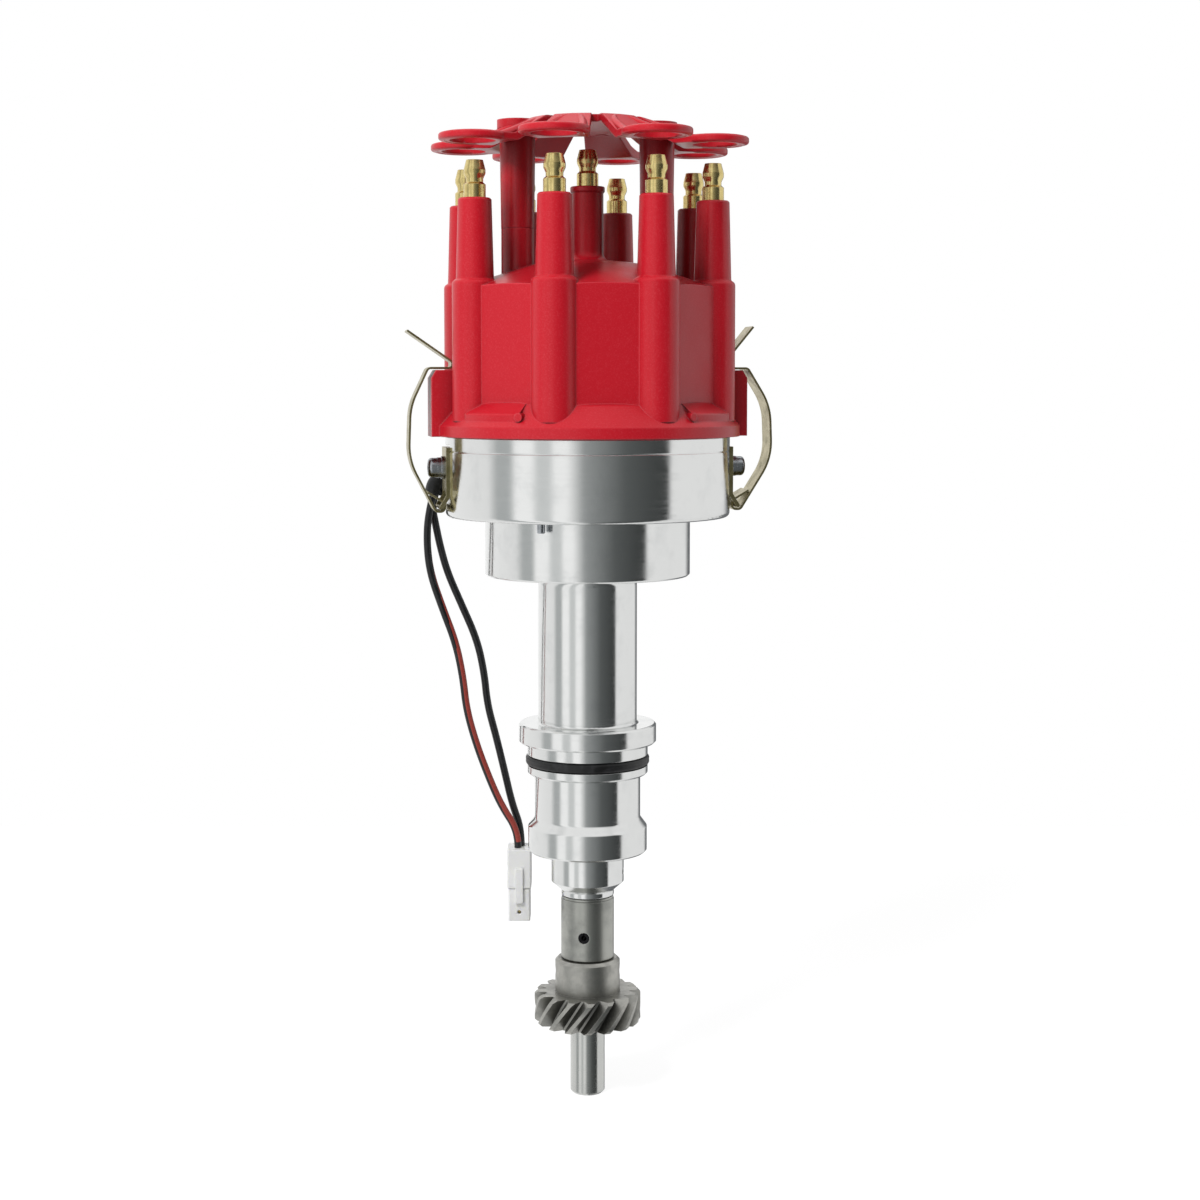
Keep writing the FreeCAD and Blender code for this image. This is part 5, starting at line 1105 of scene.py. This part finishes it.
@dataclass
class SealRing:
    """Rubber seal ring with a groove round its outside, which shows as two beads, in millimetres."""

    middle_radius: float = 19.2
    section_radius: float = 1.75
    height: float = -5.8
    dimple: float = 0.3
    dimple_half_turn: float = 0.38
    section_points: int = 40
    crease: float = 70.0

    def build(self) -> None:
        """Turn the ring and put it in the place of the CAD's round one."""
        shape = bmesh.new()
        rings = [ring_of(shape, radius, height) for radius, height in self.section()]
        for inner, outer in zip(rings, rings[1:] + rings[:1]):
            join_loops(shape, inner, outer)
        ring = mesh_object("seal_ring_beaded", shape, self.crease)
        add_piece(ring, NITRILE_RUBBER, Slot.RUBBER, Body.HOUSING, "o_ring")

    def section(self) -> list[tuple[float, float]]:
        """Work out the ring's section, a circle with a dimple on its outer side.

        Returns:
            Radius and height of each corner.
        """
        corners = []
        for step in range(self.section_points):
            turn = math.tau * step / self.section_points - math.pi
            reach = self.section_radius - self.dimple * math.exp(-((turn / self.dimple_half_turn) ** 2))
            out, up = reach * math.cos(turn), reach * math.sin(turn)
            corners.append((self.middle_radius + out, self.height + up))
        return corners


@dataclass
class Housing:
    """Turned housing with its bearings and seal."""

    def build(self) -> None:
        """Dress the housing and what is pressed into it."""
        dress_nodes(TURNED_ALUMINIUM, "housing")
        SealRing().build()
        dress_nodes(SINTERED_BRONZE, "lower_bushing")
        dress_nodes(GROUND_STEEL, "bearing_outer_race", "bearing_inner_race", "bearing_balls")
        dress_nodes(PRESSED_STEEL, "bearing_cage")
        dress_nodes(SPRING_STEEL, "bearing_snap_ring")


@dataclass
class Gear:
    """Helical drive gear on its hub, in millimetres, its flanks laid through three widths of a tooth."""

    teeth: int = 16
    tip_radius: float = 17.9
    root_radius: float = 14.2
    flank_shares: Point = (0.42, 0.25, 0.115)
    twist: float = 27.23
    bottom: float = -95.3
    top: float = -84.8
    chamfer: float = 0.9
    hub_radius: float = 10.9
    hub_top: float = -73.4
    hub_chamfer: float = 1.0
    bore_radius: float = 6.01
    pin_radius: float = 1.86
    pin_height: float = -78.0
    drill_sides: int = 48
    drill_share: float = 2.2
    levels: int = 20
    flank_points: int = 6

    def build(self) -> None:
        """Cut the gear and put it in the place of the CAD's, whose flanks shaded unevenly."""
        shape = bmesh.new()
        rows = [self.outline(shape, height) for height in self.heights()]
        edges = [
            (self.hub_radius, self.top), (self.hub_radius, self.hub_top - self.hub_chamfer),
            (self.hub_radius - self.hub_chamfer, self.hub_top), (self.bore_radius, self.hub_top),
            (self.bore_radius, self.bottom),
        ]
        rings = [ring_of(shape, radius, height) for radius, height in edges]
        for loops in (rows, rings):
            for low, high in zip(loops, loops[1:]):
                join_loops(shape, low, high)
        for outer, inner in ((rows[0], rings[-1]), (rows[-1], rings[0])):
            pairs = [pair for loop in (outer, inner) for pair in zip(loop, loop[1:] + loop[:1])]
            rims = [shape.edges.get(pair) for pair in pairs]
            bmesh.ops.triangle_fill(shape, use_beauty=True, edges=rims)
        gear = self.drilled(mesh_object("gear_blank", shape))
        add_piece(gear, GEAR_IRON, Slot.GEAR, Body.SHAFT, "drive_gear")

    def heights(self) -> list[float]:
        """Work out the heights of the outlines, with one at each end of both chamfers."""
        low, high = self.bottom + self.chamfer, self.top - self.chamfer
        inner = [low + (high - low) * step / self.levels for step in range(self.levels + 1)]
        return [self.bottom] + inner + [self.top]

    def outline(self, shape: Shape, height: float) -> list[Corner]:
        """Draw the rim's outline at one height.

        Args:
            shape: Shape that takes its corners.
            height: Height of the outline.

        Returns:
            The corners, in order round the axis.
        """
        turn = math.radians(self.twist) * (height - self.bottom) / (self.top - self.bottom)
        from_end = min(height - self.bottom, self.top - height, self.chamfer)
        reach = self.tip_radius - self.chamfer + from_end
        pitch = math.tau / self.teeth
        rise = [
            self.root_radius + (reach - self.root_radius) * step / self.flank_points
            for step in range(self.flank_points + 1)
        ]
        flank = [(radius, self.flank_share(radius) * pitch) for radius in rise]
        corners = []
        for tooth in range(self.teeth):
            middle = tooth * pitch + turn
            rising = [(r, middle - half) for r, half in flank]
            falling = [(r, middle + half) for r, half in reversed(flank)]
            corners += [corner_at(shape, r, angle, height) for r, angle in rising + falling]
        return corners

    def flank_share(self, radius: float) -> float:
        """Work out half a tooth's width at a radius, as a share of the pitch.

        Args:
            radius: Radius in millimetres.

        Returns:
            The share, on the smooth curve through the shares at root, middle and tip.
        """
        # The curve is the parabola whose place is 0 at the root, 1 halfway and 2 at the tip.
        root, middle, tip = self.flank_shares
        place = 2 * (radius - self.root_radius) / (self.tip_radius - self.root_radius)
        ends = root * (place - 1) * (place - 2) / 2 + tip * place * (place - 1) / 2
        return ends + middle * place * (2 - place)

    def drilled(self, blank: bpy.types.Object) -> bpy.types.Object:
        """Drill the pin's hole across the hub.

        Args:
            blank: Gear without the hole, removed here.

        Returns:
            The gear, not yet in the scene.
        """
        drill_shape = bmesh.new()
        bmesh.ops.create_cone(
            drill_shape, cap_ends=True, segments=self.drill_sides, radius1=self.pin_radius * MM,
            radius2=self.pin_radius * MM, depth=self.drill_share * self.hub_radius * MM,
            matrix=Matrix.Translation((0, 0, self.pin_height * MM)) @ Matrix.Rotation(math.pi / 2, 4, "Y"),
        )
        drill = mesh_object("gear_drill", drill_shape)
        show(blank, drill)
        cut = blank.modifiers.new("pin_hole", "BOOLEAN")
        cut.operation = "DIFFERENCE"
        cut.solver = "EXACT"
        cut.object = drill
        bpy.context.view_layer.update()
        mesh = bpy.data.meshes.new_from_object(blank.evaluated_get(bpy.context.evaluated_depsgraph_get()))
        for obj in (blank, drill):
            bpy.data.objects.remove(obj)
        shape = bmesh.new()
        shape.from_mesh(mesh)
        bpy.data.meshes.remove(mesh)
        return mesh_object("drive_gear_cut", shape)


@dataclass
class Drive:
    """Shaft with its collar and helical gear."""

    def build(self) -> None:
        """Dress the shaft and what is pinned to it."""
        dress_nodes(GROUND_STEEL, "main_shaft")
        dress_nodes(BLACK_OXIDE, "collar_pin", "gear_pin")
        dress_nodes(COLLAR_STEEL, "shaft_collar", "thrust_washer")
        Gear().build()


@dataclass
class AdvanceWorks:
    """Centrifugal advance: weights, springs, cam and plate."""

    coil_radius: float = 1.3
    wire_radius: float = 0.35
    turns: float = 11.0

    def build(self) -> None:
        """Dress the works and wind both springs."""
        dress_nodes(PRESSED_STEEL, "centre_cam", "advance_plate", "weight_a", "weight_b", "advance_sleeve")
        dress_nodes(GROUND_STEEL, "weight_pins")
        dress_nodes(SPRING_STEEL, "weight_clips")
        dress_nodes(NATURAL_NYLON, "stop_bushing")
        self.wind("advance_spring_a", -1)
        self.wind("advance_spring_b", 1)

    def wind(self, node: str, side: int) -> None:
        """Wind a spring from its cam post to its weight's pin.

        Args:
            node: CAD node that the spring stands for.
            side: 1 where the pin is on the right, and -1 where it is on the left.
        """
        low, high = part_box(node)
        middle_y, middle_z = (low.y + high.y) / 2, (low.z + high.z) / 2
        near_x, far_x = (low.x, high.x) if side > 0 else (high.x, low.x)
        post, pin = Vector((near_x, middle_y, middle_z)), Vector((far_x, middle_y, middle_z))
        spring = Coil(self.coil_radius, self.wire_radius, self.turns).build(node + "_coil", post, pin)
        add_piece(spring, SPRING_STEEL, Slot.SPRING, None, node)
        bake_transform(spring)


@dataclass
class Ignition:
    """Rotor, reluctor, pickup and module under the cap."""

    def build(self) -> None:
        """Dress the parts that make and share out the spark."""
        dress_nodes(DARK_MOULDING, "rotor", "ignition_module", "pickup_coil")
        dress_nodes(TURNED_BRASS, "rotor_blade", "rotor_contact_spring")
        dress_nodes(PRESSED_STEEL, "reluctor", "reluctor_pin", "rotor_posts", "pickup_pole", "base_plate")
        dress_nodes(BRIGHT_ZINC, "rotor_screws", "base_screws", "module_screws", "locating_pin")


@dataclass
class Clips:
    """Spring clips that hold the cap, with their brackets and screws."""

    def build(self) -> None:
        """Dress both clips and what they hang on."""
        dress_nodes(ZINC_PLATE, "clip_bracket_left", "clip_bracket_right")
        dress_nodes(ZINC_PLATE, "spring_clip_left", "spring_clip_right")
        dress_nodes(BRIGHT_ZINC, "clip_washers", "clip_screws")


def main() -> None:
    """Build the studio and every sub-assembly in order."""
    logging.basicConfig(level=logging.INFO, format="%(message)s")
    Studio().build()
    Leads().build()
    for part in (Housing(), Drive(), AdvanceWorks(), Ignition(), Cap(), Retainer(), Clips()):
        part.build()
    bpy.context.view_layer.update()


if __name__ == "__main__":
    main()
